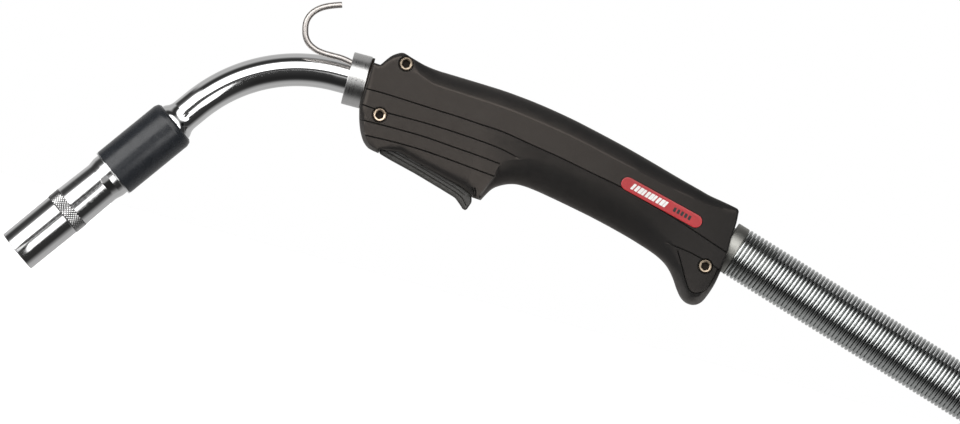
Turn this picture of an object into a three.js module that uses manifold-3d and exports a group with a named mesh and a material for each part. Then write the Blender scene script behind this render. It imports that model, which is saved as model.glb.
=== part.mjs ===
// MIG welding torch: gas nozzle, bent neck, two-shell handle with a trigger,
// hanging hook, spring strain relief and the start of the cable.
// Millimetres, +Z up. The building frame has X along the straight rear end of
// the neck, positive towards the cable, Y = 0 on the parting plane of the
// handle (left is -Y), and its origin where the hook collar meets the handle.
// The building group is then moved so that the middle of the torch's box is the origin.

import * as THREE from "three";
import { mergeVertices } from "three/addons/utils/BufferGeometryUtils.js";
import Module from "manifold-3d";

const { Vector3 } = THREE;
const wasm = await Module();
wasm.setup();

// -------------------------------------------------------- shared dimensions
// Each section below starts with the sizes that only it uses.
const BOX_CENTRE = [146.745, 0, -48.564]; // middle of the torch's box, building frame
const PARTING_GAP = 0.3; // between the two handle shells
const FIT_GAP = 0.3; // between the front end's nested parts

// neck centre line: straight along X, one bend downwards, straight to the nozzle
const NECK_BEND_START_X = -15;
const NECK_BEND_R = 79.4;
const NECK_BEND_DEG = 54.2;

// flared front of the neck, along the nozzle axis from the end of the bend
const FLARE_R = 10.15;
const FLARE_FROM = 9.2;
const FLARE_FULL = 13.1;
const FLARE_TO = 20;

// screws across the handle, [x, z]
const SCREWS = {
  front_top: [16.85, 14.19],
  front_lower: [10.65, -13.87],
  rear: [187.33, -44.79],
};

const HANDLE_HALF_WIDTH = 15.8;

const PIVOT = [19.7, -26.8]; // trigger pin, [x, z]
const PIVOT_PIN_R = 2;
const TRIGGER_HALF_WIDTH = 9.5;

// strain relief axis: leaves the handle sloping downwards
const RELIEF_POINT = [198.05, -32.86]; // [x, z] of its zero
const RELIEF_DEG = 16.9;
const RELIEF_SPRING_R = 13;
const RELIEF_HINGES = [28, 68, 108, 148]; // where the spring bends, along the axis
const RELIEF_SLIT = 2; // open length at each bending place
const HANDLE_SECTION_TO = RELIEF_HINGES[0] - RELIEF_SLIT / 2;

const CABLE_BEND_R = 60;
const CABLE_BORE_R = 6.9;
const STRAND_R = 4.8;
const LINER_R = 2.5;
const LINER_BORE_R = 1.2;
const LINER_SIDES = 8;

// ---------------------------------------------------------------- materials
const metal = (finish) => new THREE.MeshStandardMaterial({ ...finish, metalness: 1 });
const plastic = (finish) => new THREE.MeshStandardMaterial({ ...finish, metalness: 0 });

const MATERIALS = {
  chrome: metal({ color: 0xc9ccce, roughness: 0.16 }),
  copper: metal({ color: 0xb06a3f, roughness: 0.3 }),
  brass: metal({ color: 0xb89a55, roughness: 0.35 }),
  steel: metal({ color: 0xa9abad, roughness: 0.3 }),
  darkSteel: metal({ color: 0x35353a, roughness: 0.4 }),
  collarMetal: metal({ color: 0xb9bbbc, roughness: 0.34 }),
  screwMetal: metal({ color: 0xa58d68, roughness: 0.35 }),
  nozzleInsulator: plastic({ color: 0x2b2f34, roughness: 0.42 }),
  neckInsulation: plastic({ color: 0xd8d2c4, roughness: 0.6 }),
  handle: plastic({ color: 0x3b3835, roughness: 0.55 }),
  badge: plastic({ color: 0xd23c4b, roughness: 0.4 }),
  trigger: plastic({ color: 0x4b4a49, roughness: 0.5 }),
  switchHousing: plastic({ color: 0x3a3f45, roughness: 0.5 }),
  plunger: plastic({ color: 0xb33a2f, roughness: 0.45 }),
  greyLead: plastic({ color: 0xb8b8b8, roughness: 0.5 }),
  brownLead: plastic({ color: 0x6c3b2a, roughness: 0.5 }),
  cableJacket: plastic({ color: 0x1f1f20, roughness: 0.7 }),
};

// --------------------------------------------------------- solids and meshes
const radians = (degrees) => (degrees * Math.PI) / 180;

// Shared vertices, no zero-area triangles, faces pointing out.
function closed(geometry) {
  const bare = new THREE.BufferGeometry();
  bare.setAttribute("position", geometry.attributes.position);
  bare.setIndex(geometry.index);
  const merged = mergeVertices(bare, 1e-4);
  const { position } = merged.attributes;
  const corners = merged.index.array;
  const kept = [];
  const [first, second, third] = [new Vector3(), new Vector3(), new Vector3()];
  let sixVolumes = 0;
  for (let i = 0; i < corners.length; i += 3) {
    const [one, two, three] = corners.slice(i, i + 3);
    if (one === two || two === three || three === one) continue;
    first.fromBufferAttribute(position, one);
    second.fromBufferAttribute(position, two);
    third.fromBufferAttribute(position, three);
    sixVolumes += first.dot(second.cross(third));
    kept.push(one, two, three);
  }
  if (sixVolumes < 0) {
    for (let i = 0; i < kept.length; i += 3) {
      [kept[i + 1], kept[i + 2]] = [kept[i + 2], kept[i + 1]];
    }
  }
  const result = new THREE.BufferGeometry();
  result.setAttribute("position", position);
  result.setIndex(kept);
  return result;
}

// A shape below is either a geometry or a Manifold solid.
function toSolid(shape) {
  if (!shape.isBufferGeometry) return shape;
  const geometry = closed(shape);
  return new wasm.Manifold(
    new wasm.Mesh({
      numProp: 3,
      vertProperties: new Float32Array(geometry.attributes.position.array),
      triVerts: new Uint32Array(geometry.index.array),
    }),
  );
}

function toGeometry(shape) {
  if (shape.isBufferGeometry) return shape;
  const { vertProperties, triVerts } = shape.getMesh();
  const geometry = new THREE.BufferGeometry();
  geometry.setAttribute("position", new THREE.BufferAttribute(vertProperties, 3));
  geometry.setIndex(new THREE.BufferAttribute(triVerts, 1));
  return geometry;
}

const cut = (body, ...tools) =>
  tools.reduce((rest, tool) => rest.subtract(toSolid(tool)), toSolid(body));
const join = (body, ...more) =>
  more.reduce((whole, part) => whole.add(toSolid(part)), toSolid(body));

function add(group, name, shape, material) {
  const geometry = closed(toGeometry(shape));
  geometry.computeVertexNormals();
  const mesh = new THREE.Mesh(geometry, material);
  mesh.name = name;
  group.add(mesh);
  return mesh;
}

// -------------------------------------------------------------------- shapes
// A side view, given as [x, z] points, extruded across the handle.
// edge = { inset, depth, steps } rounds both rims.
function prism(points, fromY, toY, edge) {
  const shape = new THREE.Shape(points.map(([x, z]) => new THREE.Vector2(x, z)));
  const edgeDepth = edge ? edge.depth : 0;
  const bevel = edge && {
    bevelSize: edge.inset,
    bevelOffset: -edge.inset,
    bevelThickness: edge.depth,
    bevelSegments: edge.steps,
  };
  return new THREE.ExtrudeGeometry(shape, {
    depth: toY - fromY - 2 * edgeDepth,
    bevelEnabled: Boolean(edge),
    ...bevel,
  })
    .rotateX(Math.PI / 2)
    .translate(0, toY - edgeDepth, 0);
}

const box = (fromX, toX, fromY, toY, fromZ, toZ) =>
  new THREE.BoxGeometry(toX - fromX, toY - fromY, toZ - fromZ).translate(
    (fromX + toX) / 2,
    (fromY + toY) / 2,
    (fromZ + toZ) / 2,
  );

// Turned about the local Y axis. Points are [radius, place along the axis].
const turned = (points, sides) =>
  new THREE.LatheGeometry(points.map(([radius, y]) => new THREE.Vector2(radius, y)), sides);

// A turned part with a bore: its profile is a loop, closed here.
const turnedLoop = (points, sides) => turned([...points, points[0]], sides);

const ring = (radius, bore, from, to, sides) =>
  turnedLoop([[bore, from], [radius, from], [radius, to], [bore, to]], sides);

const disc = (radius, from, to, sides) =>
  turned([[0, from], [radius, from], [radius, to], [0, to]], sides);

// Discs across the handle at side-view place [x, z], and upright at place x.
const across = ([x, z], radius, fromY, toY, sides) =>
  disc(radius, fromY, toY, sides).translate(x, 0, z);
const upright = (x, radius, fromZ, toZ, sides) =>
  disc(radius, fromZ, toZ, sides).rotateX(Math.PI / 2).translate(x, 0, 0);

// ---------------------------------------------------------------------- tubes
const circle = (radius, sides) =>
  Array.from({ length: sides }, (_, i) => {
    const angle = (i / sides) * Math.PI * 2;
    return new THREE.Vector2(radius * Math.cos(angle), radius * Math.sin(angle));
  });

function sweep(radius, bore, path, steps, sides) {
  const section = new THREE.Shape(circle(radius, sides));
  if (bore) section.holes.push(new THREE.Path(circle(bore, sides).reverse()));
  return new THREE.ExtrudeGeometry(section, { steps, extrudePath: path });
}

// A path that is only ever sampled at its stations, each { point, tangent }.
class StationPath extends THREE.Curve {
  constructor(stations) {
    super();
    this.stations = stations;
  }
  stationAt(fraction) {
    return this.stations[Math.round(fraction * (this.stations.length - 1))];
  }
  getPointAt(fraction) {
    return this.stationAt(fraction).point.clone();
  }
  getTangentAt(fraction) {
    return this.stationAt(fraction).tangent.clone();
  }
}

const tube = (radius, bore, stations, sides) =>
  sweep(radius, bore, new StationPath(stations), stations.length - 1, sides);

// A solid rod along a smooth curve through [x, y, z] points.
function rod(radius, points, steps, sides) {
  const vectors = points.map((point) => new Vector3(...point));
  const path = new THREE.CatmullRomCurve3(vectors, false, "centripetal");
  return sweep(radius, 0, path, steps, sides);
}

// -------------------------------------------------------------- centre lines
const neckBend = radians(NECK_BEND_DEG);
const reliefSlope = radians(RELIEF_DEG);

const NOZZLE_AXIS = {
  point: new Vector3(
    NECK_BEND_START_X - NECK_BEND_R * Math.sin(neckBend),
    0,
    NECK_BEND_R * (Math.cos(neckBend) - 1),
  ),
  direction: new Vector3(-Math.cos(neckBend), 0, -Math.sin(neckBend)),
};
const NECK_AXIS = { point: new Vector3(), direction: new Vector3(1, 0, 0) };
const RELIEF_AXIS = {
  point: new Vector3(RELIEF_POINT[0], 0, RELIEF_POINT[1]),
  direction: new Vector3(Math.cos(reliefSlope), 0, -Math.sin(reliefSlope)),
};

const pointOn = (axis, distance) =>
  axis.point.clone().addScaledVector(axis.direction, distance);

// Stations along X from fromX, round a downward bend, to `end`.
// heading is +1 towards the cable, -1 towards the nozzle.
function bentLine({ heading, fromX, bendX, radius, angle, steps, end }) {
  const tangentAt = (turn) => new Vector3(heading * Math.cos(turn), 0, -Math.sin(turn));
  const stations = [{ point: new Vector3(fromX, 0, 0), tangent: tangentAt(0) }];
  for (let i = 0; i <= steps; i++) {
    const turn = (angle * i) / steps;
    stations.push({
      point: new Vector3(
        bendX + heading * radius * Math.sin(turn),
        0,
        radius * (Math.cos(turn) - 1),
      ),
      tangent: tangentAt(turn),
    });
  }
  stations.push({ point: end, tangent: tangentAt(angle) });
  return stations;
}

// From X = fromX in the handle to `to` along the nozzle axis.
const neckStations = (fromX, to, steps) =>
  bentLine({
    heading: -1,
    fromX,
    bendX: NECK_BEND_START_X,
    radius: NECK_BEND_R,
    angle: neckBend,
    steps,
    end: pointOn(NOZZLE_AXIS, to),
  });

// From X = fromX on the neck axis to `to` along the relief axis.
const CABLE_CORNER_X = RELIEF_POINT[0] + RELIEF_POINT[1] / Math.tan(reliefSlope);
const cableStations = (fromX, to, steps) =>
  bentLine({
    heading: 1,
    fromX,
    bendX: CABLE_CORNER_X - CABLE_BEND_R * Math.tan(reliefSlope / 2),
    radius: CABLE_BEND_R,
    angle: reliefSlope,
    steps,
    end: pointOn(RELIEF_AXIS, to),
  });

// -------------------------------------------------------------------- groups
const torch = new THREE.Group();
const building = new THREE.Group();
building.position.fromArray(BOX_CENTRE).negate();
torch.add(building);

// A group whose local +Y runs along the axis.
function axisGroup({ point, direction }) {
  const group = new THREE.Group();
  group.position.copy(point);
  group.quaternion.setFromUnitVectors(new Vector3(0, 1, 0), direction);
  group.updateMatrix();
  building.add(group);
  return group;
}
const front = axisGroup(NOZZLE_AXIS); // +Y towards the work
const neck = axisGroup(NECK_AXIS); // +Y towards the cable
const relief = axisGroup(RELIEF_AXIS); // +Y towards the cable

// From a group's frame to the building frame.
const placed = (geometry, group) => geometry.applyMatrix4(group.matrix);

// ----------------------------------------------------------------- front end
// Places are along the nozzle axis; profile columns are radius, place.
const TIP_FACE = 115.9; // nozzle's open end
const SLEEVE_R = 13;
const SLEEVE_FROM = 13.5;
const SLEEVE_TO = 53.2;
const SLEEVE_MOUTH_R = FLARE_R + FIT_GAP + 0.1;
const SLEEVE_BORE_R = 8.9;
const KNURL_R = 11.65;
const KNURL_FROM = 79.9;
const KNURL_TO = 86.5;
const NOZZLE_TAIL_R = 11.65;
const NOZZLE_TAIL_FROM = 46.2;
const NOZZLE_WAIST_R = 10.85;
const NOZZLE_MOUTH_R = 11.15;
const NOZZLE_BORE_R = 7.95;
const NOZZLE_SOCKET_R = 8.9;
const NOZZLE_SEAT_R = NOZZLE_TAIL_R + FIT_GAP + 0.05;
const TIP_END = TIP_FACE - 3; // contact tip sits back from the open end
const GAS_HOLE = { radius: 1.1, halfLength: 9, place: 68, turn: 0.13 };

const NOZZLE_PROFILE = [
  [NOZZLE_SOCKET_R, NOZZLE_TAIL_FROM],
  [NOZZLE_TAIL_R - 0.4, NOZZLE_TAIL_FROM],
  [NOZZLE_TAIL_R, NOZZLE_TAIL_FROM + 0.8],
  [NOZZLE_TAIL_R, 56.9],
  [NOZZLE_WAIST_R, 60.7],
  [NOZZLE_MOUTH_R + 0.12, KNURL_FROM],
  [KNURL_R, KNURL_FROM + 0.1],
  [KNURL_R, KNURL_TO],
  [NOZZLE_MOUTH_R + 0.15, KNURL_TO + 0.1],
  [NOZZLE_MOUTH_R, TIP_FACE - 0.5],
  [NOZZLE_MOUTH_R - 0.4, TIP_FACE],
  [NOZZLE_BORE_R, TIP_FACE],
  [NOZZLE_BORE_R, 80],
  [NOZZLE_SOCKET_R, 75],
];
const INSULATOR_PROFILE = [
  [SLEEVE_MOUTH_R, SLEEVE_FROM],
  [SLEEVE_R - 2.2, SLEEVE_FROM],
  [SLEEVE_R - 0.7, SLEEVE_FROM + 0.9],
  [SLEEVE_R, SLEEVE_FROM + 3],
  [SLEEVE_R, SLEEVE_TO],
  [NOZZLE_SEAT_R, SLEEVE_TO],
  [NOZZLE_SEAT_R, NOZZLE_TAIL_FROM - 0.5],
  [SLEEVE_BORE_R, NOZZLE_TAIL_FROM - 0.5],
  [SLEEVE_BORE_R, FLARE_TO + 0.5],
  [SLEEVE_MOUTH_R, FLARE_TO + 0.5],
];
const DIFFUSER_PROFILE = [
  [5.5, 22], [8.4, 22], [8.4, 48], [7.4, 49], [7.4, 80], [6, 84], [6, 86],
  [4.3, 86], [4.3, 72], [3.4, 72], [3.4, 34], [5.5, 34],
];
const CONTACT_TIP_PROFILE = [
  [0.7, 73],
  [3.95, 73],
  [3.95, 87],
  [3.2, 88],
  [3.2, TIP_END - 5],
  [2.3, TIP_END],
  [0.7, TIP_END],
];

function gasDiffuser() {
  const { radius, halfLength, place, turn } = GAS_HOLE;
  const gasHole = (angle) =>
    disc(radius, -halfLength, halfLength, 6)
      .rotateZ(Math.PI / 2)
      .rotateY(angle)
      .translate(0, place, 0);
  return cut(turnedLoop(DIFFUSER_PROFILE, 20), gasHole(turn), gasHole(turn + Math.PI / 2));
}

add(front, "nozzle", turnedLoop(NOZZLE_PROFILE, 32), MATERIALS.chrome);
add(front, "nozzle_insulator", turnedLoop(INSULATOR_PROFILE, 32), MATERIALS.nozzleInsulator);
add(
  front,
  "nozzle_retaining_ring",
  ring(SLEEVE_R - 0.05, NOZZLE_SEAT_R, SLEEVE_TO + 0.15, SLEEVE_TO + 0.75, 28),
  MATERIALS.chrome,
);
add(front, "gas_diffuser", gasDiffuser(), MATERIALS.brass);
add(front, "contact_tip", turnedLoop(CONTACT_TIP_PROFILE, 16), MATERIALS.copper);

// ---------------------------------------------------------------------- neck
// Nested tubes: rearX is in the handle, frontTo is along the nozzle axis.
const JACKET = { radius: 8.25, bore: 7.35, rearX: 30, frontTo: FLARE_FROM - 1 };
const INSULATION = { radius: 7, bore: 5.55, rearX: 36, frontTo: 19 };
const CONDUCTOR = { radius: 5.2, bore: 3, rearX: 57.5, frontTo: 32 };
const LINER_FRONT_TO = 66;

const neckTube = ({ radius, bore, rearX, frontTo }, bendSteps, sides) =>
  tube(radius, bore, neckStations(rearX, frontTo, bendSteps), sides);

function neckJacket() {
  const flareBore = JACKET.bore + 0.1;
  const flareProfile = [
    [flareBore, FLARE_FROM - 3],
    [JACKET.radius - 0.05, FLARE_FROM - 3],
    [JACKET.radius + 0.05, FLARE_FROM],
    [FLARE_R, FLARE_FULL],
    [FLARE_R, FLARE_TO],
    [flareBore, FLARE_TO],
  ];
  return join(neckTube(JACKET, 9, 20), placed(turnedLoop(flareProfile, 20), front));
}

// One conduit from the diffuser, through the neck, the block and the handle,
// to the first bending place of the strain relief.
function handleLiner() {
  const neckPart = neckStations(60, LINER_FRONT_TO, 7)
    .reverse()
    .map(({ point, tangent }) => ({ point, tangent: tangent.negate() }));
  const cablePart = cableStations(70, HANDLE_SECTION_TO, 3);
  return tube(LINER_R, LINER_BORE_R, [...neckPart, ...cablePart], LINER_SIDES);
}

add(building, "neck_jacket", neckJacket(), MATERIALS.chrome);
add(building, "neck_insulation", neckTube(INSULATION, 7, 12), MATERIALS.neckInsulation);
add(building, "neck_conductor", neckTube(CONDUCTOR, 7, 12), MATERIALS.copper);
add(building, "wire_liner_handle", handleLiner(), MATERIALS.steel);

// ----------------------------------------------------------- collar and hook
const COLLAR_R = 13.35;
const COLLAR_BORE_R = 8.6;
const COLLAR_FRONT_X = -9.75;
const COLLAR_REAR_X = -0.2;
const COLLAR_MIDDLE_X = (COLLAR_FRONT_X + COLLAR_REAR_X) / 2;
const COLLAR_CHAMFER = 0.4;
const SET_SCREW_TURN = new THREE.Matrix4().makeRotationX(radians(-30)); // right side, low
const SET_SCREW_HOLE_R = 2.15;
const HOOK_ROD_R = 1.55;
const HOOK_SOCKET_R = HOOK_ROD_R + 0.22;
const HOOK_SOCKET_END_X = -1.2;
const HOOK_Y = -7.9;
// centre line of the rod from the collar to its free end, [x, z]
const HOOK_PATH = [
  [-2, 7.5], [-9, 7.55], [-15.8, 7.75], [-22.7, 8.4], [-28.5, 9.8], [-33.1, 12.6],
  [-36.7, 17.2], [-37.5, 22.8], [-35.2, 28], [-31, 31.4], [-26.2, 33.4], [-21.8, 34.7],
];

function hookCollar() {
  const profile = [
    [COLLAR_BORE_R, COLLAR_FRONT_X],
    [COLLAR_R - COLLAR_CHAMFER, COLLAR_FRONT_X],
    [COLLAR_R, COLLAR_FRONT_X + COLLAR_CHAMFER],
    [COLLAR_R, COLLAR_REAR_X - COLLAR_CHAMFER],
    [COLLAR_R - COLLAR_CHAMFER, COLLAR_REAR_X],
    [COLLAR_BORE_R, COLLAR_REAR_X],
  ];
  const hookSocket = placed(disc(HOOK_SOCKET_R, -20, HOOK_SOCKET_END_X, 12), neck);
  hookSocket.translate(0, HOOK_Y, HOOK_PATH[0][1]);
  const setScrewHole = disc(SET_SCREW_HOLE_R, 8, 15, 12)
    .applyMatrix4(SET_SCREW_TURN)
    .translate(COLLAR_MIDDLE_X, 0, 0);
  return cut(placed(turnedLoop(profile, 36), neck), hookSocket, setScrewHole);
}

// Built along local +Y, outwards from the neck, with a hexagonal socket.
const setScrew = () => cut(disc(1.8, 8.85, 12.6, 12), disc(0.9, 11, 14, 6));

const hangerHook = () =>
  rod(HOOK_ROD_R, HOOK_PATH.map(([x, z]) => [x, HOOK_Y, z]), 22, 10);

add(building, "hook_collar", hookCollar(), MATERIALS.collarMetal);
const setScrewMesh = add(building, "collar_set_screw", setScrew(), MATERIALS.darkSteel);
setScrewMesh.applyMatrix4(SET_SCREW_TURN);
setScrewMesh.position.x = COLLAR_MIDDLE_X;
add(building, "hanger_hook", hangerHook(), MATERIALS.steel);

// -------------------------------------------------------------------- handle
const HANDLE_CAVITY_HALF_WIDTH = 12.9;
const HANDLE_EDGE = { inset: 3, depth: 4.6, steps: 3 };
const NECK_SOCKET_R = 8.6;
const TRIGGER_CLEARANCE = 0.4;
const PIN_HALF_LENGTH = 13.5;
const PIN_HOLE_HALF_LENGTH = PIN_HALF_LENGTH + 0.4;
const RIB = { fromX: 44, toX: 54, innerY: 5.9, outerY: 13.5, fromZ: -23, toZ: -19.5 };

const SCREW_SEAT_Y = -12.2; // inner face of the screw heads
const SCREW_HEAD = { radius: 3.1, height: 2.8 };
const SCREW_HEAD_Y = SCREW_SEAT_Y - SCREW_HEAD.height;
const SCREW_SHANK = { radius: 1.75, fromY: -12.6, toY: 6.4 };
const SCREW_SOCKET = { radius: 1.75, depth: 1.7 };
const SCREW_POCKET = { radius: 3.7, bottomY: -11.9 };
const SHANK_HOLE_R = 2.1;
const INSERT = { radius: 3.1, bore: 2.1, fromY: 0.6, toY: 7 };
const INSERT_HOLE = { radius: 3.45, toY: 7.6 };

const BADGE_CENTRE = [158, -19.68]; // [x, z]
const BADGE_DEG = -13.84;
const BADGE_LENGTH = 45.2;
const BADGE_WIDTH = 6.6;
const BADGE_PROUD = 0.3;
const BADGE_SUNK = 0.5;
const BADGE_RECESS = { margin: 0.3, depth: 0.8 };

// All side views are [x, z].
// The handle, with the trigger's window still filled in.
const HANDLE_OUTLINE = [
  // top, front to rear
  [0.15, 10.6], [4.55, 10.43], [10.2, 17.5], [13.6, 19.1], [19.3, 17.75],
  [26.3, 15.94], [32.9, 15.13], [44.5, 14.77], [54.9, 14.46], [65.4, 14.05],
  [76, 13.21], [86.7, 11.99], [97.5, 10.32], [108.4, 8.28], [119.4, 5.84],
  [130.4, 3.26], [141.5, 0.44], [152.7, -2.62], [163.9, -5.73], [175, -8.65],
  [187.6, -11.29], [194.6, -12.6],
  // rear end, downwards
  [196.6, -14.8], [196.8, -22], [196.3, -30], [196, -38], [195.4, -45.4],
  [194, -52.9], [191.9, -59.3], [188.5, -64.1],
  // underside, rear to front
  [185, -65.3], [181.2, -64.3], [177.6, -60.9], [173.6, -55.1], [169, -50],
  [163.6, -46.6], [157, -44.1], [147.5, -41.2], [136.4, -38.3], [125.3, -35.7],
  [114.4, -33.5], [103.5, -31.5], [93.8, -30], [87, -29.6], [82, -30.5],
  [77, -33.2], [70.4, -43.2], [11.5, -32],
  // front end, upwards
  [8.6, -30.9], [5.6, -28], [3.2, -23.8], [1.3, -18.6], [0.15, -12.3],
];
// Everything below this edge is open on both sides of the trigger.
const TRIGGER_WINDOW = [
  [14.6, -60], [14.6, -30.4], [25, -29.1], [36.7, -32.4], [49.3, -35.5],
  [59.6, -38.1], [65.2, -39.4], [70.4, -42], [75, -44], [75, -60],
];
const HANDLE_CAVITY = [
  [18, 11.2], [60, 11.2], [76, 10.2], [87, 9], [97.5, 7.3], [108.4, 5.3],
  [119.4, 2.8], [130.4, 0.2], [141.5, -2.6], [152.7, -5.7], [163.9, -8.8],
  [171, -10.8], [171, -43.5], [160, -41], [147.5, -37.6], [136.4, -34.8],
  [125.3, -32.2], [114.4, -30], [103.5, -28.1], [93.8, -26.6], [86, -26.2],
  [79, -27.6], [72, -31], [69, -30], [62, -24], [18, -24],
];
const TRIGGER_SLOT = [[14.3, -22.6], [14.3, -60], [69.2, -60], [69.2, -33], [63, -22.6]];
// Bore for the strain relief ferrule: radius, place along the relief axis.
const FERRULE_SOCKET = [
  [0, -34],
  [10.05, -34],
  [10.05, -3.9],
  [RELIEF_SPRING_R + 0.3, -3.9],
  [RELIEF_SPRING_R + 0.3, 30],
  [0, 30],
];

// The Y range between two distances from the parting plane. side is -1 left, +1 right.
const onSide = (side, near, far) => (side < 0 ? [-far, -near] : [near, far]);

// The badge's outline, a slot with round ends, grown all round by margin.
function badgePoints(margin) {
  const radius = BADGE_WIDTH / 2 + margin;
  const endCentre = (BADGE_LENGTH - BADGE_WIDTH) / 2;
  const cosine = Math.cos(radians(BADGE_DEG));
  const sine = Math.sin(radians(BADGE_DEG));
  const points = [];
  for (const end of [1, -1]) {
    for (let i = 0; i <= 6; i++) {
      const angle = radians(-90 * end + 30 * i);
      const x = end * endCentre + radius * Math.cos(angle);
      const z = radius * Math.sin(angle);
      points.push([
        BADGE_CENTRE[0] + x * cosine - z * sine,
        BADGE_CENTRE[1] + x * sine + z * cosine,
      ]);
    }
  }
  return points;
}

function handleShell(side) {
  const width = HANDLE_HALF_WIDTH;
  const slotHalfWidth = TRIGGER_HALF_WIDTH + TRIGGER_CLEARANCE;
  const wholeHandle = toSolid(prism(HANDLE_OUTLINE, -width, width, HANDLE_EDGE));
  const halfSpace = box(-20, 260, ...onSide(side, PARTING_GAP / 2, 40), -100, 60);
  const hollowed = cut(
    wholeHandle.intersect(toSolid(halfSpace)),
    prism(HANDLE_CAVITY, -HANDLE_CAVITY_HALF_WIDTH, HANDLE_CAVITY_HALF_WIDTH),
    prism(TRIGGER_SLOT, -slotHalfWidth, slotHalfWidth),
    prism(TRIGGER_WINDOW, -30, 30),
    placed(disc(NECK_SOCKET_R, -2, 19, 24), neck),
    placed(turned(FERRULE_SOCKET, 32), relief),
    across(PIVOT, PIVOT_PIN_R + 0.3, -PIN_HOLE_HALF_LENGTH, PIN_HOLE_HALF_LENGTH, 16),
    prism(badgePoints(BADGE_RECESS.margin), ...onSide(side, width - BADGE_RECESS.depth, 20)),
  );
  // a rib each side steadies the switch
  const ribY = onSide(side, RIB.innerY, RIB.outerY);
  const ribbed = join(hollowed, box(RIB.fromX, RIB.toX, ...ribY, RIB.fromZ, RIB.toZ));
  const screwHoles = Object.values(SCREWS).flatMap((at) =>
    side < 0
      ? [
          across(at, SCREW_POCKET.radius, -20, SCREW_POCKET.bottomY, 20),
          across(at, SHANK_HOLE_R, -13, 1, 16),
        ]
      : [across(at, INSERT_HOLE.radius, -1, INSERT_HOLE.toY, 16)],
  );
  return cut(ribbed, ...screwHoles);
}

// Head on the left, with a hexagonal socket.
const handleScrew = (at) =>
  cut(
    join(
      across(at, SCREW_SHANK.radius, SCREW_SHANK.fromY, SCREW_SHANK.toY, 12),
      across(at, SCREW_HEAD.radius, SCREW_HEAD_Y, SCREW_SEAT_Y, 20),
    ),
    across(at, SCREW_SOCKET.radius, SCREW_HEAD_Y - 1, SCREW_HEAD_Y + SCREW_SOCKET.depth, 6),
  );

const handleInsert = ([x, z]) =>
  ring(INSERT.radius, INSERT.bore, INSERT.fromY, INSERT.toY, 12).translate(x, 0, z);

const badge = (side) =>
  prism(
    badgePoints(0),
    ...onSide(side, HANDLE_HALF_WIDTH - BADGE_SUNK, HANDLE_HALF_WIDTH + BADGE_PROUD),
  );

const SIDES = { left: -1, right: 1 };
for (const [place, side] of Object.entries(SIDES)) {
  add(building, `handle_shell_${place}`, handleShell(side), MATERIALS.handle);
}
for (const [place, at] of Object.entries(SCREWS)) {
  add(building, `handle_screw_${place}`, handleScrew(at), MATERIALS.screwMetal);
  add(building, `handle_insert_${place}`, handleInsert(at), MATERIALS.brass);
}
for (const [place, side] of Object.entries(SIDES)) {
  add(building, `badge_${place}`, badge(side), MATERIALS.badge);
}

// ------------------------------------------------------------------- trigger
const TRIGGER_WALL = 1.8;
const TRIGGER_EDGE = { inset: 0.7, depth: 0.7, steps: 1 };
// side views, [x, z]
const TRIGGER_OUTLINE = [
  [15, -25], [25, -24.8], [30, -28.6], [46, -33.6], [60, -37.6], [65.2, -39.8],
  [66.3, -44.2], [64, -49], [61, -47], [57.7, -44.2], [49.3, -41.7],
  [35.3, -37.7], [21.4, -34.3], [15.8, -32.7], [15, -31.6],
];
const TRIGGER_HOLLOW = [
  [16.2, -20], [16.2, -30.4], [21.9, -31.9], [35.9, -35.3], [50, -39.3],
  [59, -41.9], [62.6, -44.2], [63.8, -41.5], [63.8, -20],
];
const SPRING_WIRE_R = 0.4;
const COIL_R = 2.7;
const COIL_TURNS = 4.5;
const COIL_STEPS_PER_TURN = 10;
const COIL_HALF_LENGTH = 2.6;

function triggerLever() {
  const outerHalf = TRIGGER_HALF_WIDTH;
  const innerHalf = outerHalf - TRIGGER_WALL;
  return cut(
    prism(TRIGGER_OUTLINE, -outerHalf, outerHalf, TRIGGER_EDGE),
    prism(TRIGGER_HOLLOW, -innerHalf, innerHalf),
    across(PIVOT, PIVOT_PIN_R + 0.25, -12, 12, 16),
  );
}

// Torsion spring wound on the pin, one leg on the lever's floor.
function returnSpring() {
  const coil = [];
  const steps = COIL_TURNS * COIL_STEPS_PER_TURN;
  for (let i = 0; i <= steps; i++) {
    const angle = (i / COIL_STEPS_PER_TURN) * Math.PI * 2 + Math.PI / 2;
    coil.push([
      PIVOT[0] + COIL_R * Math.cos(angle),
      -COIL_HALF_LENGTH + (2 * COIL_HALF_LENGTH * i) / steps,
      PIVOT[1] + COIL_R * Math.sin(angle),
    ]);
  }
  const [startX, startY, startZ] = coil[0];
  const [endX] = coil[steps];
  const path = [
    [startX + 6, startY, startZ + 0.2],
    ...coil,
    [endX + 5, 2.7, -31.1],
    [endX + 12, 2.7, -33.2],
  ];
  return rod(SPRING_WIRE_R, path, 56, 5);
}

const pivotPin = () => across(PIVOT, PIVOT_PIN_R, -PIN_HALF_LENGTH, PIN_HALF_LENGTH, 16);

add(building, "trigger_lever", triggerLever(), MATERIALS.trigger);
add(building, "trigger_pivot_pin", pivotPin(), MATERIALS.steel);
add(building, "trigger_return_spring", returnSpring(), MATERIALS.steel);

// ---------------------------------------------------------- switch and leads
const SWITCH = { fromX: 38, toX: 60, halfWidth: 5.5, bottomZ: -29.5, topZ: -17 };
const PLUNGER = { x: 46, radius: 2, bottomZ: -37.2, topZ: -24 };
const PLUNGER_HOLE = { radius: PLUNGER.radius + 0.35, topZ: -20.5 };
const TERMINAL_X = { front: 43, rear: 53 }; // front faces
const TERMINAL = { thickness: 0.9, halfWidth: 1.8, topZ: -12.6 };
const LEAD_R = 0.8;
const LEAD_RADIAL = (STRAND_R + CABLE_BORE_R) / 2; // midway between conductor and jacket
const LEAD_END_Y = 1.7;
const LEAD_END_PLACES = [-96, -88]; // along the relief axis
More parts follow.
